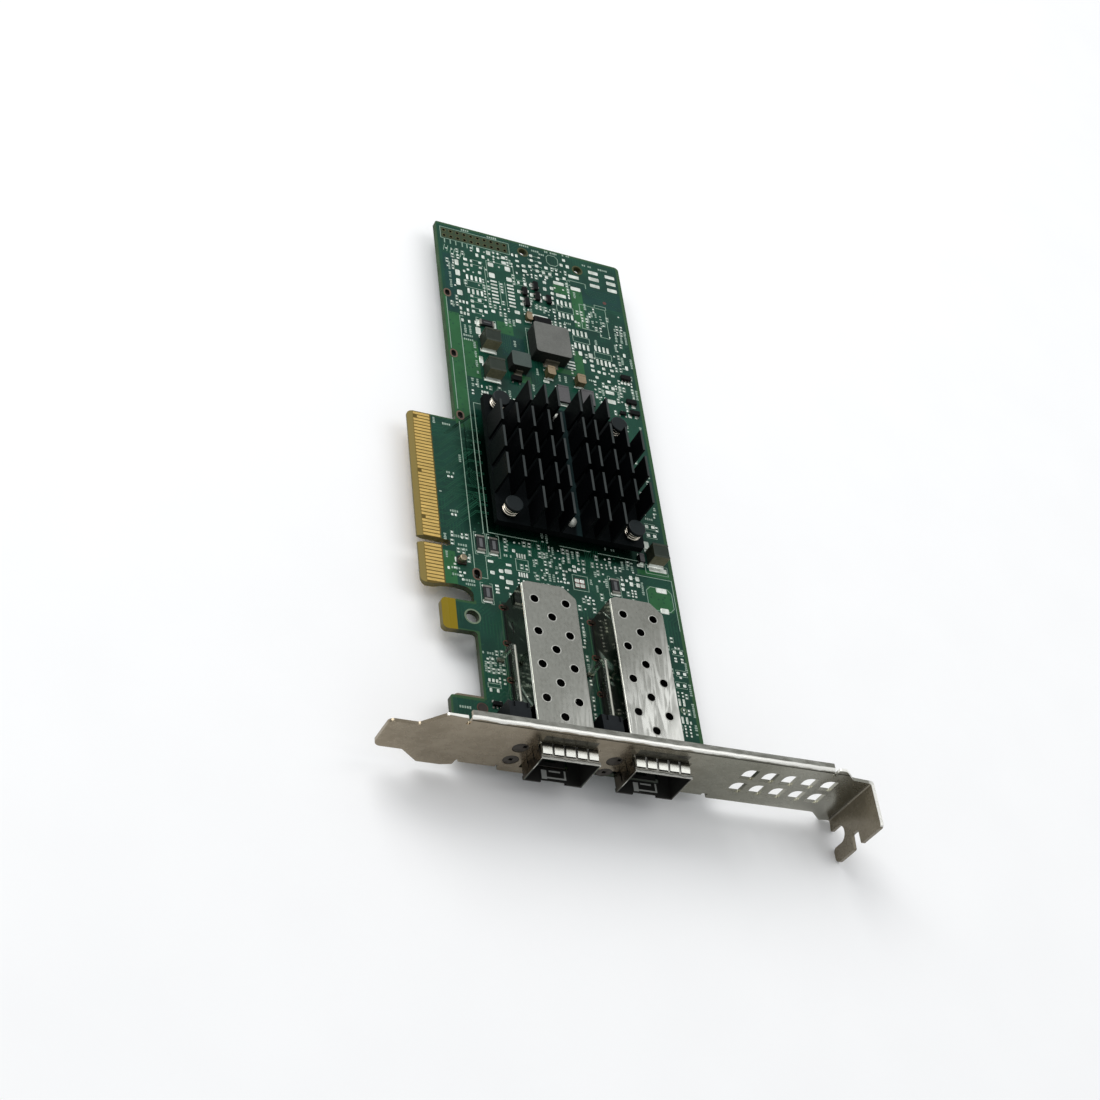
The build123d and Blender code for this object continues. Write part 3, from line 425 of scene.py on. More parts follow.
def bracket_look():
    """Rolled steel with a cloudy plating, painted light along the plate, a painted highlight along the bend with a
    painted shadow line below it, painted shade over the mouths and a painted highlight on the tab's cut edge.
    """
    k = Look("bracket_sheet")
    px, py, pz = k.work()
    nx, ny, nz = k.facing()
    cloud = k.noise(75, 4, 0.62, move=(0.2, 0.5, 0.1), distort=0.6)
    lay = k.noise(700, 3, 0.6, stretch=(0.6, 1, 1))
    both = k.sum("ADD", k.sum("MULTIPLY", cloud, 0.72), k.sum("MULTIPLY", lay, 0.28))
    # painted light: the plating colour is lifted, warmer on the left and much lighter toward the right-hand end and its
    # lower right corner
    dull = k.ramp(both, [(0.34, (0.235, 0.196, 0.138)), (0.66, (0.350, 0.300, 0.225))])
    lit_plating = k.ramp(both, [(0.34, (0.180, 0.177, 0.138)), (0.66, (0.275, 0.270, 0.222))])
    along = k.sum("ADD", px, k.sum("MULTIPLY", cloud, 14.0))
    col = k.mix(k.span(along, 40.0, 74.0), dull, lit_plating)
    col = k.mix(k.sum("MULTIPLY", k.span(px, 74.0, 92.0), 0.42), col, (0.50, 0.495, 0.44))
    corner = k.all(k.span(px, 84.0, 99.0), k.span(pz, 5.0, -3.0), k.span(py, -57.6, -58.4))
    col = k.mix(k.sum("MULTIPLY", corner, 0.5), col, (0.52, 0.51, 0.46))
    # painted shade: dark brown on the plate over the two mouths
    front = k.span(ny, -0.75, -0.92)
    over = k.sum("MAXIMUM", k.within(px, 20.2, 33.1, 0.15), k.within(px, 43.2, 56.1, 0.15))
    over = k.all(over, k.within(pz, 9.4, 13.2, 0.20), front)
    mouth_shade = k.ramp(k.noise(420, 3, 0.6, stretch=(1, 1, 2)), [(0.36, (0.014, 0.013, 0.008)), (0.66, (0.080, 0.074, 0.052))])
    col = k.mix(k.sum("MULTIPLY", over, 0.95), col, mouth_shade)
    # level top of the flange, a painted highlight along the bend and a painted shadow line below it
    flat = k.all(k.span(nz, 0.90, 0.97), k.span(pz, 15.2, 15.5))
    speck = k.ramp(k.noise(900, 3, 0.6, stretch=(0.35, 1, 1)), [(0.36, (0.245, 0.243, 0.210)), (0.64, (0.430, 0.430, 0.385))])
    col = k.mix(flat, col, speck)
    wander = k.sum("MULTIPLY", k.sum("SUBTRACT", k.noise(260, 2, 0.5, stretch=(1, 0.01, 0.01)), 0.5), 0.5)
    lit = k.all(k.within(k.sum("ADD", py, wander), -57.97, -57.16, 0.08), k.span(pz, 14.9, 15.1), k.span(px, 98.6, 98.2))
    col = k.mix(k.sum("MULTIPLY", lit, 0.95), col, (0.98, 0.97, 0.91))
    line = k.all(k.within(pz, 14.70, 15.08, 0.06), k.span(py, -57.94, -57.99), k.span(px, 1.0, 2.4))
    col = k.mix(k.sum("MULTIPLY", line, 0.9), col, (0.028, 0.026, 0.018))
    tab = k.all(k.span(px, 103.4, 104.4), k.span(py, -57.6, -58.6))
    shade_ = k.ramp(cloud, [(0.35, (0.135, 0.108, 0.066)), (0.65, (0.175, 0.146, 0.096))])
    col = k.mix(k.sum("MULTIPLY", tab, 0.9), col, shade_)
    # painted highlight on the tab's upper cut edge
    tip_highlight = k.all(k.span(px, 103.8, 104.5), k.span(nz, 0.5, 0.8), k.span(pz, 11.7, 12.4))
    col = k.mix(k.sum("MULTIPLY", tip_highlight, 0.92), col, (0.95, 0.94, 0.88))
    k.put(k.bsdf.inputs["Metallic"], k.sum("SUBTRACT", 1.0, k.sum("MINIMUM", 1.0, k.sum("ADD", k.sum("MULTIPLY", tab, 0.65), k.sum("ADD", k.sum("MULTIPLY", lit, 0.7), k.sum("MULTIPLY", over, 0.5))))))
    rough = k.ramp(k.sum("MULTIPLY", k.sum("ADD", lay, cloud), 0.5), [(0.3, 0.20), (0.7, 0.34)])
    nrm = k.bump(cloud, 0.00012, 0.35)
    nrm = k.bump(lay, 0.000008, 0.6, nrm)
    return k.finish(col, rough, nrm)


def sink_look():
    """Black anodised casting: deep black walls, painted light as a faint grey on the level faces and a painted
    highlight on the fin tops.
    """
    k = Look("anodised_black", spec=0.06)
    px, py, pz = k.work()
    nz = k.normal_z()
    n = k.noise(5200, 3, 0.6)
    slow = k.noise(150, 3, 0.55, move=(0.3, 0.1, 0.7))
    wall = k.ramp(slow, [(0.3, (0.0010, 0.0013, 0.0017)), (0.7, (0.0020, 0.0024, 0.0030))])
    # painted light: upward faces are a lighter copy of the walls
    lit_level = k.ramp(slow, [(0.3, (0.0018, 0.0034, 0.0036)), (0.7, (0.0045, 0.0062, 0.0070))])
    lit_level = k.mix(k.within(px, 40.6, 42.2, 0.3), lit_level, (0.012, 0.026, 0.027))
    # painted highlight on the fin tops
    edge = k.ramp(slow, [(0.3, (0.034, 0.040, 0.040)), (0.7, (0.048, 0.054, 0.053))])
    up = k.span(nz, 0.75, 0.95)
    col = k.mix(up, wall, lit_level)
    col = k.mix(k.all(up, k.span(pz, 11.85, 11.95)), col, edge)
    return k.finish(col, k.ramp(n, [(0.3, 0.40), (0.7, 0.58)]), k.bump(n, 0.00001))


def holder_look():
    """Blue-black moulding with a painted lit top over darker sides; its window faces are a smoky brown grey."""
    k = Look("moulded_blue_black", spec=0.14)
    px, py, pz = k.work()
    nz = k.normal_z()
    n = k.noise(2600, 4, 0.6)
    slow = k.noise(300, 3, 0.55, move=(0.3, 0.1, 0.7))
    side = k.ramp(slow, [(0.3, (0.004, 0.005, 0.006)), (0.7, (0.007, 0.009, 0.010))])
    # painted light: upward faces are lighter than the sides
    top = k.ramp(slow, [(0.3, (0.007, 0.009, 0.011)), (0.7, (0.012, 0.015, 0.017))])
    col = k.mix(k.span(nz, 0.55, 0.9), side, top)
    window = k.ramp(k.noise(900, 3, 0.6), [(0.3, (0.030, 0.026, 0.021)), (0.7, (0.066, 0.059, 0.050))])
    col = k.mix(k.span(py, -57.5, -57.8), col, window)
    return k.finish(col, k.ramp(n, [(0.3, 0.38), (0.7, 0.54)]), k.bump(n, 0.00001))


def clear_look():
    """Clear guides, smoky where they show in the plate's windows."""
    k = Look("light_guide_clear", ior=1.05, spec=0.1)
    k.bsdf.inputs["Transmission Weight"].default_value = 0.96
    px, py, pz = k.work()
    n = k.noise(900, 3, 0.5)
    col = k.ramp(n, [(0.3, (0.74, 0.80, 0.72)), (0.7, (0.84, 0.88, 0.82))])
    col = k.mix(k.span(py, -57.0, -57.2), col, (0.050, 0.044, 0.036))
    return k.finish(col, k.ramp(n, [(0.3, 0.04), (0.7, 0.10)]), k.bump(n, 0.00001, 0.3))


def ink_look(name, low, high):
    k = Look(name, spec=0.3)
    n = k.noise(2600, 3, 0.6)
    slow = k.noise(160, 2, 0.5)
    col = k.ramp(k.sum("MULTIPLY", k.sum("ADD", n, slow), 0.5), [(0.35, low), (0.62, high)])
    return k.finish(col, k.ramp(n, [(0.3, 0.5), (0.7, 0.68)]), k.bump(n, 0.000008, 0.6))


def cap_end_look():
    """Terminal plate of the stacked blocks: dark where it laps over the top, pale at the foot, with painted shade on
    the faces turned to -X.
    """
    k = Look("cap_terminal", metallic=0.0, spec=0.3)
    px, py, pz = k.work()
    nx, ny, nz = k.facing()
    n = k.noise(1400, 3, 0.6)
    side = k.ramp(n, [(0.35, (0.115, 0.108, 0.060)), (0.65, (0.170, 0.160, 0.098))])
    foot = k.ramp(n, [(0.35, (0.22, 0.215, 0.19)), (0.65, (0.33, 0.325, 0.29))])
    lap = k.ramp(n, [(0.35, (0.022, 0.029, 0.020)), (0.65, (0.034, 0.043, 0.030))])
    up = k.span(nz, 0.30, 0.60)
    # painted shade: faces turned to -X are near-black
    side = k.mix(k.span(nx, -0.5, -0.8), side, (0.012, 0.017, 0.010))
    col = k.mix(up, side, k.mix(k.span(pz, 1.4, 1.8), foot, lap))
    return k.finish(col, k.ramp(n, [(0.3, 0.36), (0.7, 0.52)]), k.bump(n, 0.00001, 0.5))


def solder_look():
    k = Look("solder_silver", metallic=0.45, spec=0.6)
    n = k.noise(1500, 3, 0.6)
    slow = k.noise(420, 1, 0.5, move=(0.7, 0.1, 0))
    col = k.ramp(slow, [(0.3, (0.52, 0.57, 0.50)), (0.7, (0.88, 0.92, 0.85))])
    return k.finish(col, k.ramp(n, [(0.3, 0.24), (0.7, 0.42)]), k.bump(n, 0.00003, 0.5))


LOOKS = {
    "laminate": board_look(),
    "gold": metal("contact_gold", (0.90, 0.62, 0.20), 0.30, streak=(0.3, 1, 1), scale=900, spread=0.10),
    "bracket_steel": bracket_look(),
    "rivet_steel": plastic("rivet_bronzed", (0.040, 0.032, 0.027), 0.52, spread=0.3, metallic=0.35),
    "cage_metal": cage_look(),
    "collar_metal": collar_look(),
    "black_plastic": plastic("moulded_black", (0.0035, 0.0040, 0.0042), 0.40, spec=0.12),
    "holder_plastic": holder_look(),
    "clear_plastic": clear_look(),
    "lamp_resin": plastic("lamp_smoky", (0.11, 0.11, 0.080), 0.4, spread=0.15),
    "black_anodised": sink_look(),
    "pad_rubber": plastic("gap_pad", (0.34, 0.33, 0.36), 0.7),
    # entries given a top colour carry a painted lit top over darker sides
    "pin_plastic": plastic("pin_black", (0.006, 0.008, 0.009), 0.42, top=(0.006, 0.010, 0.011), spec=0.22),
    "spring_steel": metal("spring_wire", (0.74, 0.68, 0.58), 0.18, spread=0.08),
    "stud_metal": plastic("stud_turned", (0.62, 0.63, 0.57), 0.45, spread=0.12, metallic=0.45),
    "inductor_grey": plastic("pressed_powder", (0.010, 0.011, 0.009), 0.5, grain=3200, depth=0.00002, top=(0.135, 0.138, 0.126), spec=0.25),
    "tinned": metal("tin_plate", (0.60, 0.585, 0.53), 0.34, scale=800, spread=0.12),
    "ceramic_grey": plastic("ceramic_grey", (0.018, 0.021, 0.012), 0.40, top=(0.021, 0.029, 0.021), spec=0.22),
    "ceramic_tan": plastic("ceramic_tan", (0.085, 0.072, 0.024), 0.38, top=(0.250, 0.190, 0.116)),
    "ferrite_grey": plastic("ferrite_grey", (0.012, 0.012, 0.012), 0.42, top=(0.088, 0.086, 0.088)),
    "resistor_grey": plastic("glazed_dark", (0.010, 0.011, 0.012), 0.3),
    "can_metal": metal("drawn_can", (0.34, 0.29, 0.20), 0.36, spread=0.3, scale=1800),
}
CAP_ENDS = cap_end_look()
# the next two finishes also carry a painted lit top over darker sides
POWDER_SMALL = plastic("pressed_powder_small", (0.010, 0.011, 0.009), 0.5, grain=3200, depth=0.00002, top=(0.058, 0.080, 0.070), spec=0.25)
DULL_TIN = plastic("dull_terminal", (0.10, 0.088, 0.062), 0.45, top=(0.17, 0.155, 0.118), spread=0.35, metallic=0.3)
DARK_TIN = metal("resistor_terminal", (0.32, 0.31, 0.275), 0.34, scale=900, spread=0.2)
CAN_BASE = plastic("can_base", (0.020, 0.014, 0.009), 0.5)
# nodes whose own finish differs from the rest of their slot
OWN = {
    "block_capacitor_end_caps": CAP_ENDS,
    "large_inductor_terminals": DULL_TIN,
    "small_inductor_body": POWDER_SMALL,
    "small_inductor_terminals": DULL_TIN,
    "tan_capacitor_end_caps": LOOKS["ceramic_tan"],
    "ferrite_end_caps": LOOKS["ferrite_grey"],
    "flat_resistor_end_caps": DARK_TIN,
    "can_capacitor_base": CAN_BASE,
}
INK = ink_look("legend_ink", (0.190, 0.300, 0.225), (0.310, 0.420, 0.340))
NOTE = ink_look("note_ink", (0.210, 0.300, 0.240), (0.370, 0.460, 0.390))
SOLDER = solder_look()
TRACE = plastic("mask_over_copper", (0.009, 0.062, 0.034), 0.24, grain=2200, spread=0.18, spec=0.25)
EDGE_GREEN = plastic("mask_pale_edge", (0.030, 0.098, 0.044), 0.35, grain=2200, spread=0.15, spec=0.25)
EDGE_SIDE = plastic("mask_edge_side", (0.046, 0.082, 0.042), 0.5, grain=1400, spread=0.3, spec=0.03)
RING = plastic("ring_bare_copper", (0.090, 0.034, 0.020), 0.45, spread=0.3)
RING_TAN = plastic("ring_tan", (0.125, 0.078, 0.054), 0.45, spread=0.3)
RING_PALE = plastic("ring_pale_green", (0.150, 0.205, 0.130), 0.4, spread=0.2)
OLIVE = plastic("plated_olive", (0.066, 0.070, 0.026), 0.45, spread=0.25, metallic=0.3)
# painted shade: near-black lining for the hole walls
HOLE_SHADE = plastic("hole_wall_painted_shade", (0.006, 0.004, 0.003), 0.6, spread=0.3, spec=0.2)
PANEL = plastic("panel_grey", (0.105, 0.108, 0.112), 0.45, spread=0.18)
RED_BASE = plastic("land_red_brown", (0.100, 0.040, 0.030), 0.45, spread=0.2)
# painted highlight: pale finish for the strips along the light pipes
PIPE_HIGHLIGHT = plastic("guide_painted_highlight", (0.50, 0.50, 0.43), 0.35, spread=0.2)
RIM = metal("pierced_rim", (0.52, 0.52, 0.48), 0.42, spread=0.08)

# keep the finishes on the modelled parts
slot_of = {m["node"]: m["material_slot"] for m in frame["record"]["subparts"]}
for name, obj in NODES.items():
    look = OWN.get(name, LOOKS[slot_of[name]])
    if not obj.material_slots:
        obj.data.materials.append(look)
    for s in obj.material_slots:
        s.material = look


# ------------------------------------------------------------------ thin solids
class Solids:
    """Closed solids gathered into one piece."""

    def __init__(self):
        self.v, self.f = [], []

    def rings(self, rings, closed_top=True):
        """Stack of equal point rings, counter-clockwise, from the bottom up."""
        n, b = len(rings[0]), len(self.v)
        for r in rings:
            self.v += r
        self.f.append(tuple(b + i for i in reversed(range(n))))
        for k in range(len(rings) - 1):
            for i in range(n):
                j = (i + 1) % n
                self.f.append((b + k * n + i, b + k * n + j, b + (k + 1) * n + j, b + (k + 1) * n + i))
        self.f.append(tuple(b + (len(rings) - 1) * n + i for i in range(n)))

    def prism(self, pts, z0, z1):
        self.rings([[(x, y, z0) for x, y in pts], [(x, y, z1) for x, y in pts]])

    def box(self, x0, x1, y0, y1, z0, z1):
        self.prism([(x0, y0), (x1, y0), (x1, y1), (x0, y1)], z0, z1)

    def pad(self, x, y, w, h, z=0.0, t=0.02, dome=0.035, down=False):
        """Land with rounded corners and a low dome of solder."""
        c = 0.13 * min(w, h)
        a, b = w / 2, h / 2
        pts = [(a - c, -b), (a, -b + c), (a, b - c), (a - c, b), (-a + c, b), (-a, b - c), (-a, -b + c), (-a + c, -b)]
        k = 1 - 0.34 * min(w, h) / w
        m = 1 - 0.34 * min(w, h) / h
        s = -1 if down else 1
        rows = [[(x + u, y + v, z - s * 0.01) for u, v in pts],
                [(x + u, y + v, z + s * t) for u, v in pts],
                [(x + u * (1 + k) / 2, y + v * (1 + m) / 2, z + s * (t + dome * 0.8)) for u, v in pts],
                [(x + u * k * 0.9, y + v * m * 0.9, z + s * (t + dome)) for u, v in pts]]
        self.rings(rows[::-1] if down else rows)

    def ribbon(self, pts, w, z0, z1, closed=False):
        """Flat band of width w along a polyline, mitred at its corners."""
        n = len(pts)
        left, right = [], []
        for i in range(n):
            p = Vector(pts[i])
            a = Vector(pts[i - 1]) if (i > 0 or closed) else None
            c = Vector(pts[(i + 1) % n]) if (i < n - 1 or closed) else None
            d1 = (p - a).normalized() if a is not None else None
            d2 = (c - p).normalized() if c is not None else None
            d1 = d1 if d1 is not None else d2
            d2 = d2 if d2 is not None else d1
            n1, n2 = Vector((-d1.y, d1.x)), Vector((-d2.y, d2.x))
            m = (n1 + n2)
            m = m / max(m.dot(n1), 0.35) if m.length > 1e-6 else n1
            left.append(p + m * (w / 2))
            right.append(p - m * (w / 2))
        b = len(self.v)
        for z in (z0, z1):
            self.v += [(q.x, q.y, z) for q in left] + [(q.x, q.y, z) for q in right]
        L0, R0, L1, R1 = b, b + n, b + 2 * n, b + 3 * n
        for i in range(n if closed else n - 1):
            j = (i + 1) % n
            self.f += [(R1 + i, R1 + j, L1 + j, L1 + i), (L0 + i, L0 + j, R0 + j, R0 + i),
                       (R0 + i, R0 + j, R1 + j, R1 + i), (L0 + j, L0 + i, L1 + i, L1 + j)]
        if not closed:
            self.f += [(L0, R0, R1, L1), (R0 + n - 1, L0 + n - 1, L1 + n - 1, R1 + n - 1)]

    def oblong(self, x, y, a, b, w, z0, z1, n=12):
        """Band of width w round a rounded slot of half width a and half length b."""
        r, pts = a + w / 2, []
        for side in (1, -1):
            for i in range(n + 1):
                t = math.pi * i / n + (0 if side > 0 else math.pi)
                pts.append((x + r * math.cos(t), y + side * (b - a) + r * math.sin(t)))
        self.ribbon(pts, w, z0, z1, closed=True)

    def ring(self, x, y, r0, r1, z0, z1, n=28):
        pts = [(x + (r0 + r1) / 2 * math.cos(2 * math.pi * i / n), y + (r0 + r1) / 2 * math.sin(2 * math.pi * i / n))
               for i in range(n)]
        self.ribbon(pts, r1 - r0, z0, z1, closed=True)

    def disc(self, x, y, r, z0, z1, n=10):
        self.prism([(x + r * math.cos(2 * math.pi * (i + .5) / n), y + r * math.sin(2 * math.pi * (i + .5) / n))
                    for i in range(n)], z0, z1)

    def band(self, section, ring):
        """Closed band: each section row is (x, y, radius, z) swept round the unit ring."""
        n, m, b = len(ring), len(section), len(self.v)
        for x, y, r, z in section:
            self.v += [(x + r * c, y + r * s, z) for c, s in ring]
        for k in range(m):
            k2 = (k + 1) % m
            for i in range(n):
                j = (i + 1) % n
                self.f.append((b + k * n + i, b + k * n + j, b + k2 * n + j, b + k2 * n + i))

    def toe(self, x0, x1, y0, y1, side, h, reach):
        """Concave solder toe against one side ('+x', '-x', '+y', '-y') of a footprint box."""
        prof = [(0.0, 0.0), (reach, 0.0), (reach, 0.03), (reach * 0.55, h * 0.22), (reach * 0.22, h * 0.55), (0.0, h)]
        rows = []
        along = (x0, x1) if side[1] == "y" else (y0, y1)
        for s in along:
            row = []
            for d, z in prof:
                if side == "+y":
                    row.append((s, y1 + d, z))
                elif side == "-y":
                    row.append((s, y0 - d, z))
                elif side == "+x":
                    row.append((x1 + d, s, z))
                else:
                    row.append((x0 - d, s, z))
            rows.append(row)
        self.rings(rows)

    def piece(self, name, mat, slot, smooth=False, bevel=0.0):
        mesh = bpy.data.meshes.new(name)
        mesh.from_pydata([at(*p) for p in self.v], [], self.f)
        bm = bmesh.new()
        bm.from_mesh(mesh)
        bmesh.ops.recalc_face_normals(bm, faces=bm.faces)
        bm.to_mesh(mesh)
        bm.free()
        mesh.materials.append(mat)
        obj = bpy.data.objects.new(name, mesh)
        bpy.context.scene.collection.objects.link(obj)
        if bevel:
            m = obj.modifiers.new("edge", "BEVEL")
            m.width, m.segments, m.limit_method, m.angle_limit = bevel / 1000, 2, "ANGLE", math.radians(35)
        if smooth:
            for p in mesh.polygons:
                p.use_smooth = True
        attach(obj, "root")
        return obj


# ------------------------------------------------------------------ solder lands
pads = [
    (51.5, 107.0, .9, 1.0), (43.7, 105.4, .7, .5), (50.5, 104.8, .9, 1.0), (52.4, 104.8, 1.0, 1.2), (60.4, 104.9, 3.0, 1.2),
    (65.6, 104.8, 3.0, 1.2), (35.4, 103.9, .6, 1.0), (36.7, 103.9, .7, 1.1), (41.2, 105.4, .9, .9), (41.2, 103.6, .9, .9),
    (43.8, 103.5, .9, .7), (29.6, 102.7, .5, .8), (30.9, 102.7, .5, .8), (25.0, 102.3, .8, 1.6), (28.0, 102.1, 1.2, 1.5),
    (32.4, 101.7, 1.1, 1.0), (36.7, 101.9, 1.0, .7), (42.6, 101.9, 1, 1), (45.5, 102.1, 1, 1), (60.3, 102.4, 3.2, 1.3),
    (65.7, 102.3, 2.9, 1.3), (29.5, 101.2, .5, .7), (30.9, 101.2, .6, .8), (38.5, 100.6, 1.1, 1.0), (40.4, 101.0, .9, 1.0),
    (48.6, 100.7, .8, .8), (53.9, 101.3, 3.2, 1.2), (24.5, 100.1, .8, 1.2), (26.3, 100.0, .8, 1.2), (32.4, 99.8, 1.3, 1.1),
    (36.7, 100.0, .8, .7), (42.6, 100.0, 1, 1), (44.5, 100.0, .9, 1), (46.4, 99.9, .9, 1), (50.8, 99.7, .9, 1),
    (60.3, 99.8, 3.0, 1.2), (65.7, 99.7, 3.0, 1.3), (27.8, 99.4, .4, .7), (38.6, 98.7, 1.4, 1.0), (48.6, 98.9, .9, 1),
    (28.3, 97.8, 1.6, 1.5), (33.3, 97.7, 1.6, 1.7), (43.4, 98.5, .8, .8), (45.2, 98.4, .9, 1), (20.8, 97.4, 1.1, .9),
    (25.1, 97.4, .8, .8), (36.1, 97.2, .5, .7), (38.2, 97.0, .5, .7), (48.7, 97.2, 3.2, 1.2), (53.9, 96.7, 3.0, 1.3),
    (22.5, 97.3, .6, .9), (22.5, 95.6, .6, .9), (44.3, 96.2, 1, 1),
    (25.1, 95.5, .9, .6), (18.1, 95.4, 1.1, 2.0), (20.8, 95.4, 1.4, 1.0), (46.3, 94.6, 1, 1.1), (21.3, 93.7, .7, .7),
    (24.7, 93.6, .9, 1), (28.3, 93.8, 1.7, 1.8), (33.4, 93.8, 1.6, 1.5), (36.2, 93.6, .6, 1), (38.2, 93.6, .8, 1.1),
    (39.9, 93.7, 1, 1.1), (44.1, 93.7, 1, 1.2), (20.1, 92.8, .6, .8), (46.3, 92.7, .9, 1), (48.9, 92.6, 3.0, 1.2),
    (18.1, 91.6, 1.3, 2.1), (38.8, 91.1, .4, .9), (42.5, 91.0, .3, .8), (46.1, 90.9, .6, 1), (36.0, 90.2, 1, 1.2),
    (39.8, 90.1, 1, 1.3), (43.6, 90.2, .9, 1.2), (42.4, 88.8, .6, 1.2), (46.1, 89.1, .5, 1.1), (18.0, 88.2, 1.1, 2.3),
    (36.6, 87.8, 1.1, 1.2), (39.2, 86.7, .5, 1), (36.5, 85.7, 1, 1), (18.1, 84.3, 1.5, 1.8), (21.5, 84.1, .8, .8),
    (52.3, 84.0, .6, .8), (23.7, 83.1, 1, 1.1), (21.5, 82.2, .9, 1), (34.6, 82.1, 1.5, 1.2), (17.9, 81.1, .55, 1),
    (18.9, 81.1, .55, 1), (19.9, 81.1, .55, 1), (25.2, 81.4, .8, .8), (21.5, 80.4, .9, .9), (27.4, 80.3, 1.1, 1),
    (49.9, 80.3, .7, .8),
    (17.9, 78.6, .6, 1.05), (19.9, 78.5, .6, 1.05), (21.5, 78.5, .9, 1), (23.7, 79.4, .9, 1), (25.2, 79.4, .9, 1),
    (34.6, 78.9, 1.5, 1.2), (17.9, 77.0, .6, 1), (18.9, 77.0, .6, 1), (19.9, 77.0, .6, 1), (66.0, 75.6, .7, 1.3),
    (21.8, 74.6, .6, 1.2), (18.0, 74.4, .65, 1), (19.9, 74.4, .65, 1), (52.2, 72.5, 1, 1.5), (55.3, 72.5, 1.2, 1.7),
    (22.2, 71.8, 1.4, 2.4), (55.3, 70.7, 1, .9), (62.1, 71.0, .8, .8), (66.0, 71.0, .8, 1.4), (53.1, 69.9, .9, 1.2),
    (55.3, 68.9, 1, .9), (61.2, 68.8, 1, .8), (58.7, 68.8, .9, .9), (58.7, 67.1, .9, .9), (55.3, 67.3, 1, .8),
    (57.1, 67.2, .9, .9), (61.2, 66.9, 1, .7), (56.2, 65.1, .9, .9), (59.7, 64.5, .9, .8), (63.7, 65.2, .7, .85),
    (64.7, 65.2, .7, .85), (65.7, 65.2, .7, .85), (48.8, 66.3, 2.4, .5), (48.8, 67.4, 2.4, .5), (48.8, 68.5, 2.4, .5),
    (22.1, 61.7, 1.1, 2.4), (58.7, 62.3, 1, 1), (60.6, 62.3, 1, 1), (59.4, 60.5, 2.5, 1.1), (59.5, 57.4, 2.4, 1.4),
    (40.5, 59.3, 1.7, .9), (63.9, 57.5, .9, 1), (66.0, 57.3, 1.1, 1), (64.4, 53.7, 1, 1.2), (66.2, 53.7, .8, .9),
    (21.4, 52.4, .4, .9), (22.8, 52.4, .4, .9), (21.4, 50.6, .5, .8), (22.1, 50.6, .5, .8), (22.8, 50.6, .5, .8),
    (9.5, 20.4, .6, .6), (10.4, 20.4, .6, .6), (63.6, 17.1, .9, 1), (65.4, 17.2, .9, .9), (63.7, 14.4, .9, .9),
    (65.5, 14.4, .9, .9), (9.5, 8.8, .5, .7), (10.4, 8.8, .5, .7),
    (59.7, 4.1, 1.8, .7), (24.8, 1.3, .8, .9), (40.8, -.1, .9, .8), (40.8, -1.4, .9, .8), (39.5, -1.3, .8, .8),
    (42.0, -.7, .8, .8), (56.4, -.3, .8, 1.2), (58.2, -.3, 1, 1.3), (53.8, -1.4, .65, .7), (55.1, -1.4, .65, .7),
    (56.3, -2.2, .9, 1.2), (58.2, -2.2, .9, 1.2), (37.7, -2.05, .5, .5), (38.5, -2.05, .5, .5), (37.7, -3.2, .7, .7),
    (37.7, -4.4, .7, .7), (37.7, -5.5, .6, .6), (38.6, -5.4, .6, .6), (18.3, -3.2, 1.4, .7), (23.0, -3.3, 1.4, .7),
    (53.8, -2.8, .9, .8), (53.7, -4.2, .8, .9), (41.1, -4.2, 1.12, 1.0), (42.45, -4.2, 1.12, 1.0), (41.1, -5.55, 1.12, 1.0),
    (42.45, -5.55, 1.12, 1.0), (9.2, -4.5, .4, 1.4), (22.7, -5.3, 1.8, 1.2), (35.9, -4.6, .4, .45), (35.9, -5.5, .4, .45),
    (36.7, -5.4, .5, .5), (18.5, -6.4, 1.1, 1), (20.8, -5.5, 1.1, 1), (20.8, -7.4, 1.1, .9), (50.4, -6.2, .8, .5),
    (52.4, -6.3, .8, .5), (7.2, -7.3, .5, .8), (11.2, -8.0, .6, .6), (22.7, -8.4, 1.8, 1.2), (42.9, -8.6, .5, .6),
    (44.0, -8.7, .5, .6),
    (10.6, -10, .5, .7), (19.3, -10.1, .9, .6), (19.3, -11.1, .9, .6), (19.3, -12.0, .9, .6), (21.9, -10.2, 1, .6),
    (65.8, -19.2, .5, .5), (66.7, -19.2, .5, .5), (65.3, -20.45, .8, .9), (67.1, -20.45, .8, .9), (65.3, -22.3, .7, .5),
    (67.1, -22.3, .7, .5), (65.3, -23.1, .7, .5), (67.1, -23.1, .7, .5), (40.5, -23.5, .8, .6), (65.3, -26.5, .8, .8),
    (67.1, -26.5, .8, .8), (65.8, -27.7, .6, .6), (64.7, -29.9, .8, .8), (66.5, -29.9, .8, .8),
    (64.3, -32.05, .45, .45), (65.5, -32.05, .45, .45), (64.3, -33.0, .45, .45), (65.5, -33.0, .45, .45),
    (64.3, -34.75, .55, 2.0), (65.5, -34.75, .55, 2.0), (14.7, -36.9, .55, .9), (15.7, -36.9, .55, .9), (16.6, -36.9, .55, .9),
    (14.8, -39.5, .6, 1), (16.6, -39.5, .6, 1), (64.3, -39.7, .55, 1.9), (65.5, -39.7, .55, 1.9), (66.4, -40.2, .5, .8),
]
for y in (91.65, 90.4, 89.1, 87.85, 86.55, 85.25, 83.95):
    pads += [(28.6, y, 1.9, .6), (33.5, y, 1.9, .6)]
for xs, ys, h in (((20.8, 22.1, 23.4, 24.65), (90.9, 85.8), 1.8), ((47.6, 48.8, 50.1, 51.4), (89.9, 85.2), 1.8),
                  ((51.1, 52.35, 53.6, 54.9), (79.9, 75.1), 2.0), ((57.2, 58.4, 59.7, 60.9), (75.8, 70.9), 2.0)):
    pads += [(x, y, .6, h) for x in xs for y in ys]
pads += [(x, y, .4, 1.35) for x in (25.6, 26.25, 26.9, 27.6) for y in (0.05, -5.5)]
pads += [(x, y, .5, .5) for x in (56.2, 57.1) for y in (-4.2, -5.0, -5.9)]
pads += [(x, y, .45, .5) for x in (64.7, 66.0) for y in (-41.3, -42.1, -43.0, -43.9)]
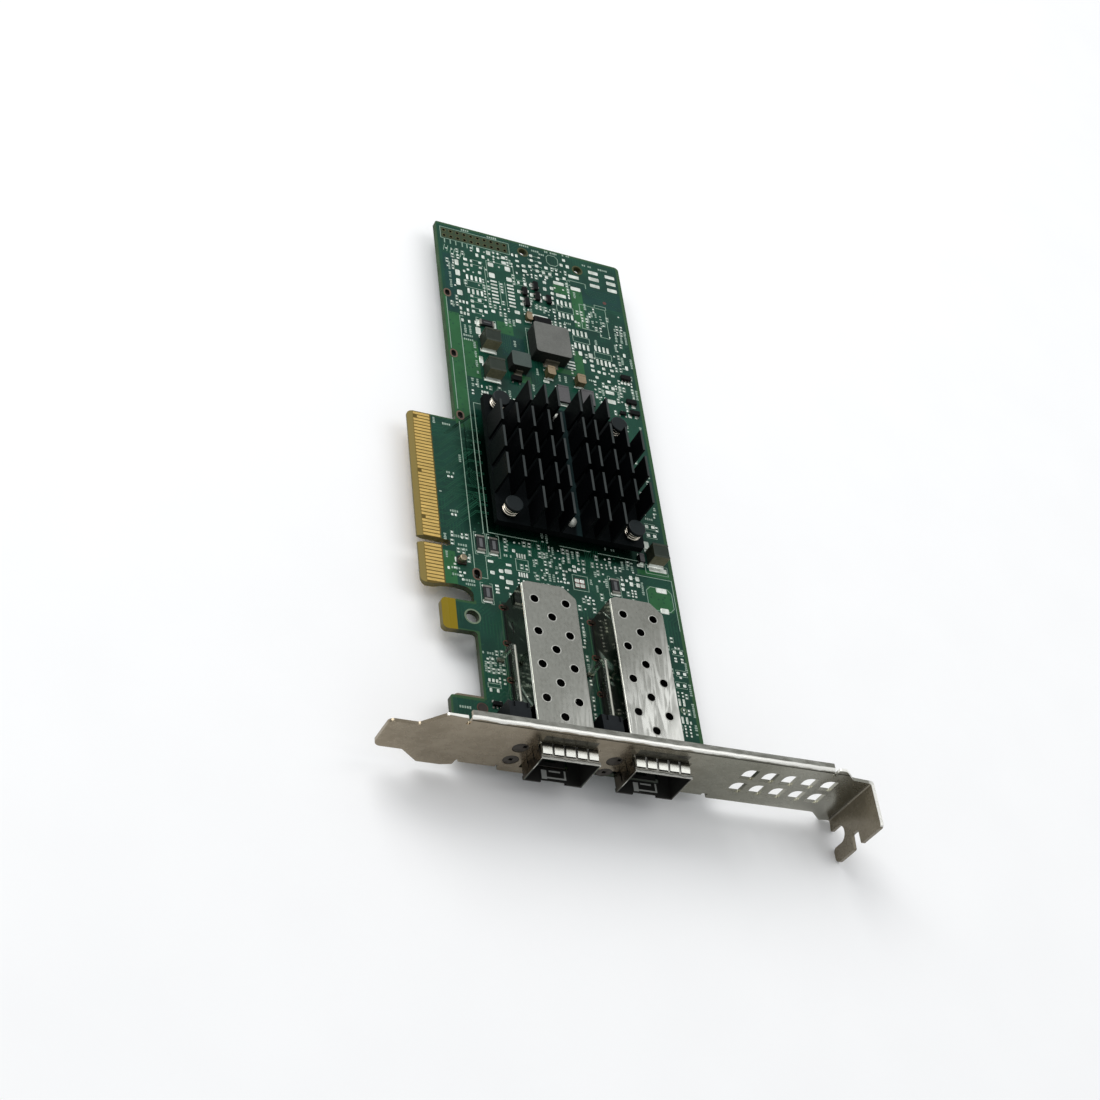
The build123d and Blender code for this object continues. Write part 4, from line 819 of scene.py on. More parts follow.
# ground taken by the fitted parts, the heatsink, the cages, the holes and the outline
parts_ground = [
    (19.0, 59.6, 6.1, 46.7), (19.6, 34.9, -57, -13.9), (42.6, 58.0, -57, -13.9), (14.0, 19.9, -57, -44.5), (37.2, 42.8, -57, -44.5),
    (36.3, 47.3, 64.0, 77.4), (29.2, 35.4, 58.8, 65.5), (21.8, 27.6, 53.9, 76.4), (61.2, 67.4, 2.2, 12.3),
    (14.3, 21.3, -2.0, 5.0), (14.7, 18.2, -16, -9.6), (49.6, 53.2, -7.2, -1.0), (38.6, 44.3, 77.2, 83.2),
    (-1, 7.4, -13, 40), (3, 13.5, -26, -15), (3, 13.4, -44, -24), (3, 15.0, -57, -42), (14.0, 35, 103.3, 108),
    (36.5, 41, 104, 108), (53, 58, 102, 107), (-1, 13.6, 38.5, 112), (0, 70, 108.4, 112), (67.6, 70, -60, 112),
    (5, 13, -15.4, -11.4), (12, 16.2, 81.4, 85), (12, 16.2, 60, 63.6), (12, 16.2, 39.2, 42.8), (12.6, 16.2, -9.6, -5.9),
    (40, 46.6, 52, 63.6), (48.6, 53.8, 53, 63.2), (36.4, 38.9, 79, 82.6), (39.6, 44.4, -7.4, -2.4), (13.2, 18.2, -46, -41)]
fitted_ground = [(x - 1.2, x + 1.2, y - 1.5, y + 1.5) for x, y in
                 ((37.45, 90.3), (41.0, 93.4), (41.2, 89.6), (37.75, 86.4), (44.6, 89.4), (64.8, 66.8), (65.3, 58.4), (65.7, 54.7),
                  (62.15, 53.85), (31.45, 57.35), (10.6, -4.7))]
# small bare footprints between the others, in loose rows
fill, brackets = [], []


def free(x0, x1, y0, y1, gap):
    near = [(x - w / 2, x + w / 2, y - h / 2, y + h / 2) for x, y, w, h in pads + fill]
    return not (any(a - gap < x1 and b + gap > x0 and c - gap < y1 and d + gap > y0 for a, b, c, d in near) or
                any(a - 0.1 < x1 and b + 0.1 > x0 and c - 0.1 < y1 and d + 0.1 > y0 for a, b, c, d in parts_ground + fitted_ground))


for x0, x1, y0, y1, share in ((36.0, 52.0, 78.0, 103.2, 0.85), (19.5, 35.5, 76.6, 103.0, 0.80), (14.6, 19.4, 76.6, 101.0, 0.7),
                              (48.2, 67.2, 52.5, 80.0, 0.75), (22.0, 48.0, -13.4, 5.0, 0.80), (48.0, 58.0, -13.4, 5.0, 0.8),
                              (61.4, 67.2, -52.0, -16.0, 0.75), (36.0, 41.6, -43.5, -14.0, 0.6), (14.2, 19.2, -38.0, -28.0, 0.8),
                              (60.4, 67.0, 13.4, 50.0, 0.45), (18.0, 40.0, 48.4, 54.0, 0.6), (8.2, 13.4, -12.0, 4.0, 0.5),
                              (52.5, 67.0, 80.0, 91.0, 0.35)):
    ny = int((y1 - y0) / 2.15)
    nx = int((x1 - x0) / 1.25)
    for j in range(ny):
        for i in range(nx):
            x, y = x0 + (i + 0.5) * (x1 - x0) / nx, y0 + (j + 0.5) * (y1 - y0) / ny
            x, y = x + dice.uniform(-0.10, 0.10), y + dice.uniform(-0.12, 0.12)
            kind = dice.random()
            if kind > share:
                continue
            if kind < share * 0.60:
                w, h, d = dice.choice(((0.5, 0.45, 0.46), (0.6, 0.5, 0.52), (0.45, 0.6, 0.5)))
                if free(x - w / 2, x + w / 2, y - d - h / 2, y + d + h / 2, 0.22):
                    fill += [(x, y - d, w, h), (x, y + d, w, h)]
                    brackets.append((x, y, w / 2 + 0.17, d + h / 2 + 0.10))
            elif kind < share * 0.82:
                r = dice.choice((0.42, 0.5))
                if free(x - r / 2, x + r / 2, y - r / 2, y + r / 2, 0.2):
                    fill.append((x, y, r, r))
pads += fill
lands = Solids()
for x, y, w, h in pads:
    lands.pad(x, y, w, h)
# large lands with an uneven flow of solder
for x, y, w, h in ((64.6, -2.6, 3.0, 1.5), (64.6, -8.7, 2.4, 1.6), (64.6, 3.6, 5.0, 1.3), (62.3, 10.9, 1.9, 2.4)):
    lands.pad(x, y, w, h, dome=0.16)
lands.piece("board_solder_lands", SOLDER, "tinned")

# solder at the fitted parts
fitted = Solids()
for x0, x1, y0, y1 in ((22.30, 26.65, 65.45, 69.85), (22.35, 26.90, 55.45, 59.90), (61.85, 66.25, 4.75, 8.95)):
    fitted.box(x0 - 0.10, x1 + 0.15, y0 - 0.80, y0 + 0.3, -0.01, 0.03)
    fitted.box(x0 - 0.10, x1 + 0.15, y1 - 0.3, y1 + 0.55, -0.01, 0.03)
    fitted.toe(x0 + 0.25, x1 - 0.25, y0, y1, "-y", 0.7, 0.62)
    fitted.toe(x0 + 0.25, x1 - 0.25, y0, y1, "+y", 0.7, 0.45)
for x0, x1, y0, y1, h in ((43.00, 46.20, 52.40, 58.10, 0.6), (49.90, 53.60, 53.40, 58.50, 0.6), (59.45, 60.75, 4.80, 7.30, 0.5),
                          (15.00, 17.00, -0.85, 3.65, 0.4), (18.35, 20.45, -0.85, 3.60, 0.4), (15.40, 17.50, -15.00, -10.90, 0.4),
                          (50.30, 52.40, -6.20, -1.95, 0.4)):
    for side, a, b in (("-y", y0 - 0.48, y0 + 0.2), ("+y", y1 - 0.2, y1 + 0.42)):
        fitted.box(x0 - 0.10, x1 + 0.10, a, b, -0.01, 0.03)
        fitted.toe(x0 + 0.15, x1 - 0.15, y0, y1, side, h, 0.34)
for x0, x1, y0, y1, h in ((40.20, 42.55, 60.30, 63.20, 0.5), (48.85, 51.35, 59.65, 62.75, 0.5), (36.75, 38.50, 79.45, 82.20, 0.4)):
    for side, a, b in (("-y", y0 - 0.26, y0 + 0.3), ("+y", y1 - 0.3, y1 + 0.3)):
        fitted.box(x0 - 0.15, x0 + 0.55, a, b, -0.01, 0.03)
        fitted.box(x1 - 0.45, x1 + 0.05, a, b, -0.01, 0.03)
        fitted.toe(x0 + 0.5, x1 - 0.5, y0, y1, side, h, 0.22)
for side, a, b in (("-x", 22.65 - 0.8, 22.9), ("+x", 26.5, 26.75 + 0.8)):
    fitted.box(a, b, 73.6, 75.9, -0.01, 0.03)
    fitted.toe(22.65, 26.75, 74.15, 75.35, side, 0.32, 0.35)
fitted.box(39.2, 43.7, 81.9, 83.0, -0.01, 0.03)
fitted.piece("board_solder_fillets", SOLDER, "tinned", bevel=0.03)
dull = Solids()
for x0, x1, y0, y1 in ((40.2, 44.6, 64.3, 66.0), (40.2, 44.6, 75.8, 77.2), (31.1, 33.5, 59.0, 60.0), (31.1, 33.5, 64.5, 65.4)):
    dull.box(x0, x1, y0, y1, -0.01, 0.04)
dull.toe(40.5, 44.3, 65.35, 76.35, "-y", 0.9, 0.8)
dull.toe(31.4, 33.2, 59.6, 64.9, "-y", 0.6, 0.5)
dull.piece("inductor_solder", DULL_TIN, "tinned", bevel=0.03)

# ------------------------------------------------------------------ print: lines, outlines and short marks
legend = Solids()
Z_INK = (-0.005, 0.022)


def line(*pts, w=0.17, closed=False):
    legend.ribbon(list(pts), w, *Z_INK, closed=closed)


def frame_box(x0, x1, y0, y1, w=0.16):
    line((x0, y0), (x1, y0), (x1, y1), (x0, y1), w=w, closed=True)


line((13.9, 43.0), (13.9, 60.2), w=0.2)
line((13.9, 63.4), (13.9, 81.6), w=0.2)
line((13.9, -6.1), (13.9, 38.8), w=0.2)
line((17.25, 4.6), (17.25, 75.8), (18.3, 75.8), w=0.22)
line((20.4, 46.2), (18.45, 46.2), (18.45, 5.4), (31.5, 5.4), w=0.2)
line((37.5, 5.4), (46.0, 5.4), w=0.18)
line((48.0, 5.4), (61.0, 5.4), w=0.18)
line((36.4, 67.0), (36.4, 77.0), (38.2, 77.0))
line((47.6, 70.2), (47.6, 77.0), (45.6, 77.0))
line((17.9, -1.7), (17.1, -2.2), (17.1, -8.5), (14.9, -8.5))
line((26.3, 82.0), (26.3, 96.3))
line((51.5, 92.5), (51.5, 99.0))
line((51.8, 99.6), (57.2, 99.6), (57.2, 97.8))
frame_box(14.2, 34.6, 103.6, 107.8)
frame_box(20.0, 25.6, 87.2, 89.6)
frame_box(47.0, 52.0, 86.5, 88.7)
frame_box(50.6, 55.6, 76.6, 78.6)
frame_box(56.6, 61.7, 72.3, 74.4)
frame_box(25.0, 28.3, -4.4, -1.0)
frame_box(14.2, 17.4, -38.8, -37.7)
frame_box(39.9, 44.0, -7.0, -2.6)
frame_box(48.0, 49.4, -12.6, -9.0, w=0.14)
frame_box(61.1, 67.4, 2.2, 4.9)
line((54.2, 82.2), (59.5, 82.2), (59.5, 80.5), (62.2, 80.5), (62.2, 91.2), (54.2, 91.2), closed=True)
line((59.0, 91.2), (59.0, 92.3), (62.5, 92.3), (62.5, 91.2))
line((46.8, 103.7), (48.7, 103.7), (49.5, 104.6), (49.5, 106.6), (48.7, 107.5), (46.8, 107.5), (46.0, 106.6), (46.0, 104.6), closed=True)
line((61.5, -8.8), (66.2, -8.8), (67.4, -7.6), (67.4, -3.1), (66.2, -1.9), (61.5, -1.9), (60.3, -3.1), (60.3, -7.6), closed=True)
line((58.0, 1.0), (68.0, 1.0), (68.0, -14.0))
line((27.0, 92.6), (27.0, 99.0), (35.0, 99.0), (35.0, 92.6), w=0.14)
line((30.2, 92.2), (30.2, 83.4), w=0.14)
line((31.9, 92.2), (31.9, 83.4), w=0.14)
# frames round the flat resistors
for x0, x1, y0, y1 in ((14.55, 17.55, -1.75, 4.75), (17.95, 21.1, -1.75, 4.75), (14.9, 18.0, -15.75, -9.9), (49.7, 53.0, -7.1, -1.1),
                       (22.0, 27.6, 72.9, 76.6)):
    line((x0 + 0.7, y1), (x0, y1), (x0, y0), (x0 + 0.7, y0), w=0.15)
    line((x1 - 0.7, y1), (x1, y1), (x1, y0), (x1 - 0.7, y0), w=0.15)
# brackets round small pairs of lands
for x, y in ((42.6, 100.95), (60.6, 62.3), (64.6, 14.4), (64.5, 17.15), (66.2, -26.5), (57.3, -1.2), (41.7, 104.5), (30.2, 102.0),
             (37.2, 93.6), (24.2, 97.0), (65.6, -29.9), (22.6, 79.0), (23.3, 83.0), (45.5, 99.9), (50.8, 98.4), (66.2, -20.45)):
    line((x - 1.5, y + 0.45), (x - 1.5, y + 0.85), (x + 1.5, y + 0.85), (x + 1.5, y + 0.45), w=0.12)
    line((x - 1.5, y - 0.45), (x - 1.5, y - 0.85), (x + 1.5, y - 0.85), (x + 1.5, y - 0.45), w=0.12)
for x, y, a, b in brackets:
    if dice.random() < 0.75:
        line((x - a, y - b), (x - a, y + b), w=0.10)
        line((x + a, y - b), (x + a, y + b), w=0.10)
for i, x in enumerate((15.2, 16.9, 18.5, 20.4, 21.8, 23.4)):
    legend.box(x - 0.16, x + 0.16, 101.9, 103.7 - 0.2 * (i % 2), *Z_INK)
for i in range(7):
    x = 14.6 + 0.95 * i
    line((x, 99.0 - 0.25 * i), (x + 0.45, 101.2 - 0.3 * i), w=0.2)


notes = Solids()


def mark(x, y, length, way="y", size=0.72):
    """Row of small plain blocks where a printed note would be."""
    n = max(3, int(round(length / 0.56)))
    step = length / n
    for i in range(n):
        if dice.random() < 0.12:
            continue
        s = -length / 2 + step * (i + 0.5)
        a, b = step * 0.33, size * dice.choice((0.5, 0.42, 0.36))
        if way == "x":
            notes.box(x + s - a, x + s + a, y - b, y + b, *Z_INK)
        else:
            notes.box(x - b, x + b, y + s - a, y + s + a, *Z_INK)


marks = [
    (15.8, 93.5, 3, "y"), (15.8, 90.7, 1.2, "y"), (15.8, 89.3, 1.2, "y"), (15.8, 87.0, 3, "y"), (15.8, 79.5, 2, "y"),
    (20.7, 66.4, 2.4, "y"), (20.7, 63.2, 2.4, "y"), (20.7, 60.0, 2.4, "y"), (20.7, 57.0, 2, "y"),
    (18.5, 71.5, 3, "y"), (19.9, 71.5, 3, "y"), (19.1, 69.2, 2.8, "x"), (19.1, 67.8, 2.8, "x"),
    (18.9, 53.2, 3, "y"), (20.3, 53.2, 3, "y"), (32.6, 70.2, 2.3, "y"), (30.8, 77.5, 3, "y"), (31.9, 77.5, 3, "y"),
    (33.1, 77.5, 3, "y"), (64.3, 82.5, 5, "y"), (65.9, 82.5, 5, "y"), (67.3, 82.3, 5, "y"), (65.0, 73.0, 5.4, "y"),
    (67.7, 73.0, 3.6, "y"), (66.6, 61.8, 3.5, "y"), (67.7, 61.8, 3.5, "y"), (34.3, 101.0, 2.5, "y"),
    (47.6, 108.5, 4, "x"), (43.0, 107.6, 3, "x"), (52.6, 108.9, 3, "x"), (48.2, 102.6, 2, "x"), (44.9, 106.9, 2.4, "x"),
    (58.6, 107.0, 3, "x"), (63.6, 106.9, 3, "x"), (21.6, 108.5, 2.4, "x"), (29.6, 108.4, 3, "x"), (39.4, 108.6, 3, "x"),
    (33.0, 6.9, 3, "y"), (34.2, 6.9, 3, "y"), (35.4, 3.4, 2.5, "y"), (32.4, 1.5, 2.3, "y"), (33.7, 1.5, 2.3, "y"),
    (34.8, 1.0, 2.3, "y"), (32.4, -4.8, 2.4, "y"), (33.7, -4.8, 2.4, "y"), (34.8, -4.8, 2.4, "y"), (35.9, -2.0, 2, "y"),
    (37.9, 1.0, 2, "y"), (39.5, 2.5, 2.4, "y"), (40.8, 3.3, 2.4, "y"), (42.1, 3.0, 2, "y"), (44.9, -4.2, 2.3, "y"),
    (49.2, -3.4, 2.8, "y"), (52.3, 1.0, 2, "y"), (50.9, 3.1, 2.2, "y"), (59.3, -3.0, 4, "y"), (51.5, 7.2, 3, "x"),
    (54.5, 3.0, 2.6, "y"), (55.8, 3.2, 2.6, "y"), (57.2, 3.2, 2.6, "y"), (10.8, 2.5, 3.5, "x"), (11.3, 0.1, 2.5, "x"),
    (11.3, -1.1, 2.5, "x"), (12.9, -3.4, 2.5, "y"), (9.0, -7.0, 2.4, "x"), (9.4, -8.9, 3, "x"), (12.2, -10.0, 3, "x"),
    (12.4, -11.1, 2.6, "x"), (10.0, 21.6, 2.3, "x"), (10.0, 9.9, 2.3, "x"), (13.0, 26.8, 2.5, "y"), (6.9, 14.5, 2, "y"),
    (6.9, 37.5, 2, "y"), (10.2, 37.0, 2.3, "x"), (7.0, 1.8, 2, "y"), (7.0, -3.4, 2, "y"),
    (15.0, -29.6, 3, "x"), (16.6, -30.8, 3, "x"), (14.2, -33.3, 3, "y"), (15.4, -33.1, 3, "y"), (16.6, -33.3, 3, "y"),
    (17.8, -33.1, 3, "y"), (37.0, -24.5, 4, "y"), (40.9, -30.0, 4, "y"), (40.9, -20.0, 4, "y"), (37.0, -36.5, 4, "y"),
    (37.2, -15.0, 3, "y"), (62.6, -22.0, 3.5, "y"), (61.6, -29.0, 4, "y"), (67.9, -31.2, 4, "y"), (67.8, -36.6, 4, "y"),
    (67.8, -24.6, 3, "y"), (67.6, -42.0, 3, "y"), (63.0, -37.0, 3, "y"), (8.0, -45.1, 3.0, "x"), (57.6, 88.6, 2.6, "y"),
    (58.9, 87.4, 3.6, "y"), (57.6, 84.8, 2.4, "y"), (60.3, 86.4, 4.2, "y"), (56.3, 86.4, 3.4, "y"), (44.2, 84.9, 2.4, "y"),
    (42.9, 85.4, 2.4, "y"), (38.9, 83.6, 2.4, "y"), (36.9, 84.0, 2, "y"), (41.0, 86.2, 2, "y"), (53.2, 94.2, 2.4, "y"),
    (55.9, 90.6, 2.4, "y"), (49.6, 82.6, 2.2, "x"), (48.6, 77.9, 2.4, "y"), (57.6, 78.0, 2, "y"), (63.6, 77.6, 2.6, "y"),
    (62.6, 62.6, 2.2, "y"), (57.3, 60.0, 2.2, "y"), (56.0, 57.0, 2.4, "y"), (62.0, 60.4, 2.4, "y"), (54.6, 63.4, 2.4, "x"),
    (46.4, 61.6, 2.4, "y"), (44.6, 61.6, 2.4, "y"), (38.2, 62.0, 2.4, "y"), (36.4, 56.0, 2.4, "y"), (29.2, 52.0, 2.4, "y"),
    (27.8, 52.0, 2.4, "y"), (26.0, 52.0, 2.4, "x"), (33.8, 54.0, 2.4, "y"), (64.6, 19.6, 2.4, "x"), (66.8, 22.6, 2.4, "y"),
    (66.8, 34.0, 3, "y"), (66.8, 44.0, 3, "y"), (62.9, 49.0, 2.4, "y"), (66.9, 50.0, 2.4, "y"), (66.9, 10.4, 2.2, "y"),
    (29.9, -1.4, 2.2, "y"), (23.0, -0.6, 2.2, "x"), (29.8, -5.0, 2.2, "y"), (23.2, 3.0, 2.2, "y"), (46.4, -1.0, 2.4, "y"),
    (46.4, -5.6, 2.2, "y"), (47.2, -8.0, 2.2, "y"), (55.2, -8.2, 2.4, "x"), (55.0, -10.6, 2.4, "x"), (29.0, -9.0, 2.4, "x"),
    (25.0, -9.4, 2.4, "x"), (35.8, -9.0, 2.4, "y"), (37.2, -9.2, 2.4, "y"),
]
for m in marks:
    mark(*m)
legend.piece("board_legend", INK, "laminate")
notes.piece("board_notes", NOTE, "laminate")

# ------------------------------------------------------------------ rings, painted-shade hole linings and vias
# the near-black linings below are painted shade in the holes and at the cage pin holes
tan, brown, pale, olive, hole_shade = Solids(), Solids(), Solids(), Solids(), Solids()
for y, a, b in ((83.2, 0.64, 1.02), (61.8, 0.64, 1.02), (41.0, 0.66, 1.05), (-7.7, 0.76, 1.32)):
    for z0, z1 in ((-0.005, 0.03), (-BOARD_T - 0.03, -BOARD_T + 0.005)):
        tan.oblong(14.4, y, a + 0.02, b + 0.02, 0.40, z0, z1)
    hole_shade.oblong(14.4, y, a - 0.07, b - 0.07, 0.06, -BOARD_T + 0.01, -0.01)
for cx in (20.30, 43.30):
    for x, ys in ((cx - 0.38, (-16.1, -26.1, -36.1)), (cx + 14.1 + 0.38, (-19.3, -26.1, -36.1))):
        for y in ys:
            brown.ring(x, y, 0.54, 0.86, -0.005, 0.035, 20)
            hole_shade.ring(x, y, 0.40, 0.545, -0.004, 0.026, 16)
            brown.ring(x, y, 0.54, 0.80, -BOARD_T - 0.035, -BOARD_T + 0.005, 20)
            hole_shade.ring(x, y, 0.46, 0.515, -BOARD_T + 0.01, 0.02, 16)
brown.ring(12.2, -44.7, 1.13, 1.38, -0.005, 0.03)
pale.ring(12.1, -20.1, 1.68, 2.08, -0.005, 0.03, 36)
pale.ring(12.1, -20.1, 1.68, 2.08, -BOARD_T - 0.03, -BOARD_T + 0.005, 36)
pale.ring(65.0, -37.0, 0.6, 0.85, -0.005, 0.025)
for i in range(10):
    for y in (106.7, 104.7):
        for z0, z1 in ((-0.005, 0.03), (-BOARD_T - 0.03, -BOARD_T + 0.005)):
            olive.ring(15.25 + 2.0 * i, y, 0.41, 0.66, z0, z1, 16)
        hole_shade.ring(15.25 + 2.0 * i, y, 0.34, 0.395, -BOARD_T + 0.01, -0.01, 16)
for x, y in ((38.8, 106.0), (55.4, 104.4)):
    for z0, z1 in ((-0.005, 0.03), (-BOARD_T - 0.03, -BOARD_T + 0.005)):
        olive.ring(x, y, 1.27, 1.66, z0, z1, 32)
    olive.ring(x, y, 1.17, 1.245, -BOARD_T + 0.01, -0.01, 32)
hole_shade.piece("board_hole_shade_walls", HOLE_SHADE, "laminate")
tan.piece("board_rings_tan", RING_TAN, "laminate")
brown.piece("board_rings_brown", RING, "laminate")
pale.piece("board_rings_pale", RING_PALE, "laminate")
olive.piece("board_plated_holes", OLIVE, "gold")

# drawn rims of the pierced holes on the cages
rims = Solids()
for cx in (20.30 + 7.05, 43.30 + 7.05):
    for k in range(4):
        for dx, dy in ((-4.0, 0.0), (4.0, 0.0), (0.0, -4.40)):
            x, y, n = cx + dx, -19.40 - 8.86 * k + dy, 28
            ring = [(math.cos(2 * math.pi * i / n), math.sin(2 * math.pi * i / n)) for i in range(n)]
            rims.band([(x, y, 1.30, 9.790), (x, y, 1.22, 9.826), (x, y, 1.06, 9.826), (x, y, 1.00, 9.780), (x, y, 1.06, 9.770)], ring)
rims.piece("cage_hole_rims", RIM, "cage_metal", smooth=True)

# thin film of mask over the long cut edge
film = Solids()
film.box(EDGE_X - 0.012, EDGE_X + 0.006, 40.6, 108.6, -BOARD_T + 0.06, -0.06)
film.piece("board_edge_film", EDGE_SIDE, "laminate")

skirts = Solids()
for x0 in (20.30, 43.30):
    skirts.ribbon([(x0 - 0.72, -14.4), (x0 - 0.72, -56.0)], 0.26, -0.004, 0.014)
    skirts.ribbon([(x0 + 14.1 + 0.62, -16.8), (x0 + 14.1 + 0.62, -56.0)], 0.22, -0.004, 0.014)
skirts.piece("cage_outline_lines", EDGE_GREEN, "laminate")

spots = Solids()
spots.disc(62.5, 94.0, 0.55, -0.005, 0.025, 18)
spots.box(40.40, 43.15, -6.25, -3.50, -0.005, 0.012)
spots.piece("board_red_brown_lands", RED_BASE, "laminate")

# footprints already taken, so that vias keep clear of them
taken = [(x - w / 2, x + w / 2, y - h / 2, y + h / 2) for x, y, w, h in pads]
taken += parts_ground
vias, dots = Solids(), []
tries = 0
while len(dots) < 620 and tries < 9000:
    tries += 1
    x, y = dice.uniform(7.6, 67.4), dice.uniform(-56, 108)
    if any(a - 0.35 < x < b + 0.35 and c - 0.35 < y < d + 0.35 for a, b, c, d in taken):
        continue
    if any((x - u) ** 2 + (y - v) ** 2 < 0.8 for u, v in dots):
        continue
    dots.append((x, y))
    vias.ring(x, y, 0.10, 0.24, -0.003, 0.016, 10)
for x, y in dots[:420]:
    vias.ring(x, y, 0.10, 0.24, -BOARD_T - 0.016, -BOARD_T + 0.003, 10)
for i in range(17):
    for j in range(13):
        x, y = 28.2 + 1.35 * i, 14.2 + 1.95 * j
        vias.ring(x, y, 0.12, 0.30, -BOARD_T - 0.016, -BOARD_T + 0.003, 10)

# traces: pairs from the contacts toward the chip, and short runs on the board
ZT = (-0.004, 0.012)
route = Solids()
for k in range(18):
    y = 2.0 + 2.0 * k + (0.5 if k % 2 else 0.0)
    x1 = 7.0 + 0.55 * (k % 4)
    rise = 6.6 + 2.6 * math.sin(k * 0.9) if k > 2 else 9.0
    rise = min(x1 + rise, 17.0) - x1
    rise = min(y + rise, 45.6) - y
    if y + rise > 37.6:
        x1 = max(x1, 13.6 - (37.6 - y))
        rise = min(rise, 17.6 - x1)
    for off in (0.0, 0.42):
        route.ribbon([(5.9, y + off), (x1 - off * 0.41, y + off), (x1 + rise - off * 0.41, y + rise + off), (19.2, y + rise + off)],
                     0.20, *ZT)
for k in range(7):
    off = 0.55 * k
    route.ribbon([(16.6 - off * 0.1, 37.2 + off), (15.1, 35.7 + off), (15.1 - 0.0, 20.0 + off * 1.4), (16.9, 18.2 + off * 1.4)], 0.16, *ZT)
for k in range(9):
    off = 0.48 * k
    route.ribbon([(30.0 + off, 5.9), (30.0 + off, 2.6 - off * 0.4), (27.6 + off * 0.6, 0.9 - off * 0.8)], 0.15, *ZT)
for k in range(8):
    off = 0.5 * k
    route.ribbon([(44.4 + off, 5.9), (44.4 + off, -6.0 - off * 0.3), (46.2 + off * 0.9, -8.2 - off * 0.3), (46.2 + off * 0.9, -13.7)], 0.15, *ZT)
for k in range(6):
    off = 0.5 * k
    route.ribbon([(58.6 - off, 46.9), (58.6 - off, 50.0 + off), (61.6 - off, 53.0 + off)], 0.15, *ZT)
    route.ribbon([(60.2 + off, 12.6), (60.2 + off, 40.0), (61.6 + off, 41.4), (61.6 + off, 50.6)], 0.16, *ZT)
    route.ribbon([(59.0 + off * 0.7, -10.2), (59.0 + off * 0.7, -30.0), (60.6 + off * 0.7, -31.6), (60.6 + off * 0.7, -52.0)], 0.16, *ZT)
    route.ribbon([(35.7 + off * 0.42, -10.4), (35.7 + off * 0.42, -43.0)], 0.13, *ZT)
for k in range(5):
    off = 0.6 * k
    route.ribbon([(56.6, 99.0 - off), (58.0, 97.6 - off), (66.6, 97.6 - off)], 0.16, *ZT)
    route.ribbon([(28.9 + off, 72.9), (28.9 + off, 67.6), (30.4 + off * 0.8, 66.1)], 0.18, *ZT)
# solder side
ZB = (-BOARD_T - 0.012, -BOARD_T + 0.004)
for k in range(18):
    y = 3.0 + 2.0 * k
    x1 = 7.4 + 0.5 * (k % 3)
    rise = 5.0 + 2.2 * math.cos(k * 0.7)
    if y + rise > 37.6:
        x1 = max(x1, 13.6 - (37.6 - y))
    for off in (0.0, 0.42):
        route.ribbon([(5.9, y + off), (x1 - off * 0.41, y + off), (x1 + rise - off * 0.41, y + rise + off), (26.0, y + rise + off)],
                     0.20, *ZB)
for k in range(9):
    route.ribbon([(20.0 + 1.7 * k, 60.0), (20.0 + 1.7 * k, 84.0 - 1.2 * k), (26.0 + 1.7 * k, 90.0 - 1.2 * k), (26.0 + 1.7 * k, 101.0)], 0.17, *ZB)
    route.ribbon([(24.0 + 2.6 * k, 5.0), (24.0 + 2.6 * k, -6.0), (21.0 + 2.6 * k, -9.0), (21.0 + 2.6 * k, -14.6)], 0.17, *ZB)
route.piece("board_traces", TRACE, "laminate")
vias.piece("board_vias", TRACE, "laminate")

# ------------------------------------------------------------------ solder side: lands and print
under = Solids()
for i in range(6):
    for j in range(4):
        x, y = 28.0 + 4.5 * i, 15.5 + 7.3 * j
        under.pad(x - 0.85, y, 0.7, 1.0, z=-BOARD_T, down=True)
        under.pad(x + 0.85, y, 0.7, 1.0, z=-BOARD_T, down=True)
for i in range(8):
    under.pad(8.65, 3.0 + 4.0 * i, 0.7, 1.0, z=-BOARD_T, down=True)
    under.pad(10.35, 3.0 + 4.0 * i, 0.7, 1.0, z=-BOARD_T, down=True)
for x, y in ((20 + 5.2 * (i % 8) + 1.1 * (i // 8), 54 + 6.4 * (i // 8)) for i in range(56)):
    w, h = ((0.9, 1.0), (1.2, 0.7), (0.7, 0.8))[int(x * 7 + y) % 3]
    under.pad(x, y, w, h, z=-BOARD_T, down=True)
    under.pad(x + 1.7, y, w, h, z=-BOARD_T, down=True)
for x in (26.1, 27.0, 27.9, 49.1, 50.0, 50.9):
    for y in (-16.2, -27.4):
        under.pad(x, y, 0.5, 1.2, z=-BOARD_T, down=True)
under.piece("solder_side_lands", SOLDER, "tinned")

back = Solids()
ZK = (-BOARD_T - 0.022, -BOARD_T + 0.005)
back.ribbon([(18.6, 5.6), (59.9, 5.6), (59.9, 47.2), (18.6, 47.2)], 0.18, *ZK, closed=True)
for i in range(8):
    back.ribbon([(7.9, 1.9 + 4.0 * i), (7.9, 4.1 + 4.0 * i), (11.1, 4.1 + 4.0 * i), (11.1, 1.9 + 4.0 * i)], 0.12, *ZK, closed=True)
for i in range(6):
    for j in range(4):
        x, y = 28.0 + 4.5 * i, 15.5 + 7.3 * j
        back.ribbon([(x - 1.5, y - 0.8), (x + 1.5, y - 0.8), (x + 1.5, y + 0.8), (x - 1.5, y + 0.8)], 0.12, *ZK, closed=True)
        back.box(x - 0.9, x - 0.3, y + 1.3, y + 2.0, *ZK)
        back.box(x, x + 0.7, y + 1.3, y + 1.5, *ZK)
        back.box(x, x + 0.15, y + 1.5, y + 2.0, *ZK)
back.ribbon([(14.2, 103.6), (34.6, 103.6), (34.6, 107.8), (14.2, 107.8)], 0.16, *ZK, closed=True)
back.piece("solder_side_legend", INK, "laminate")
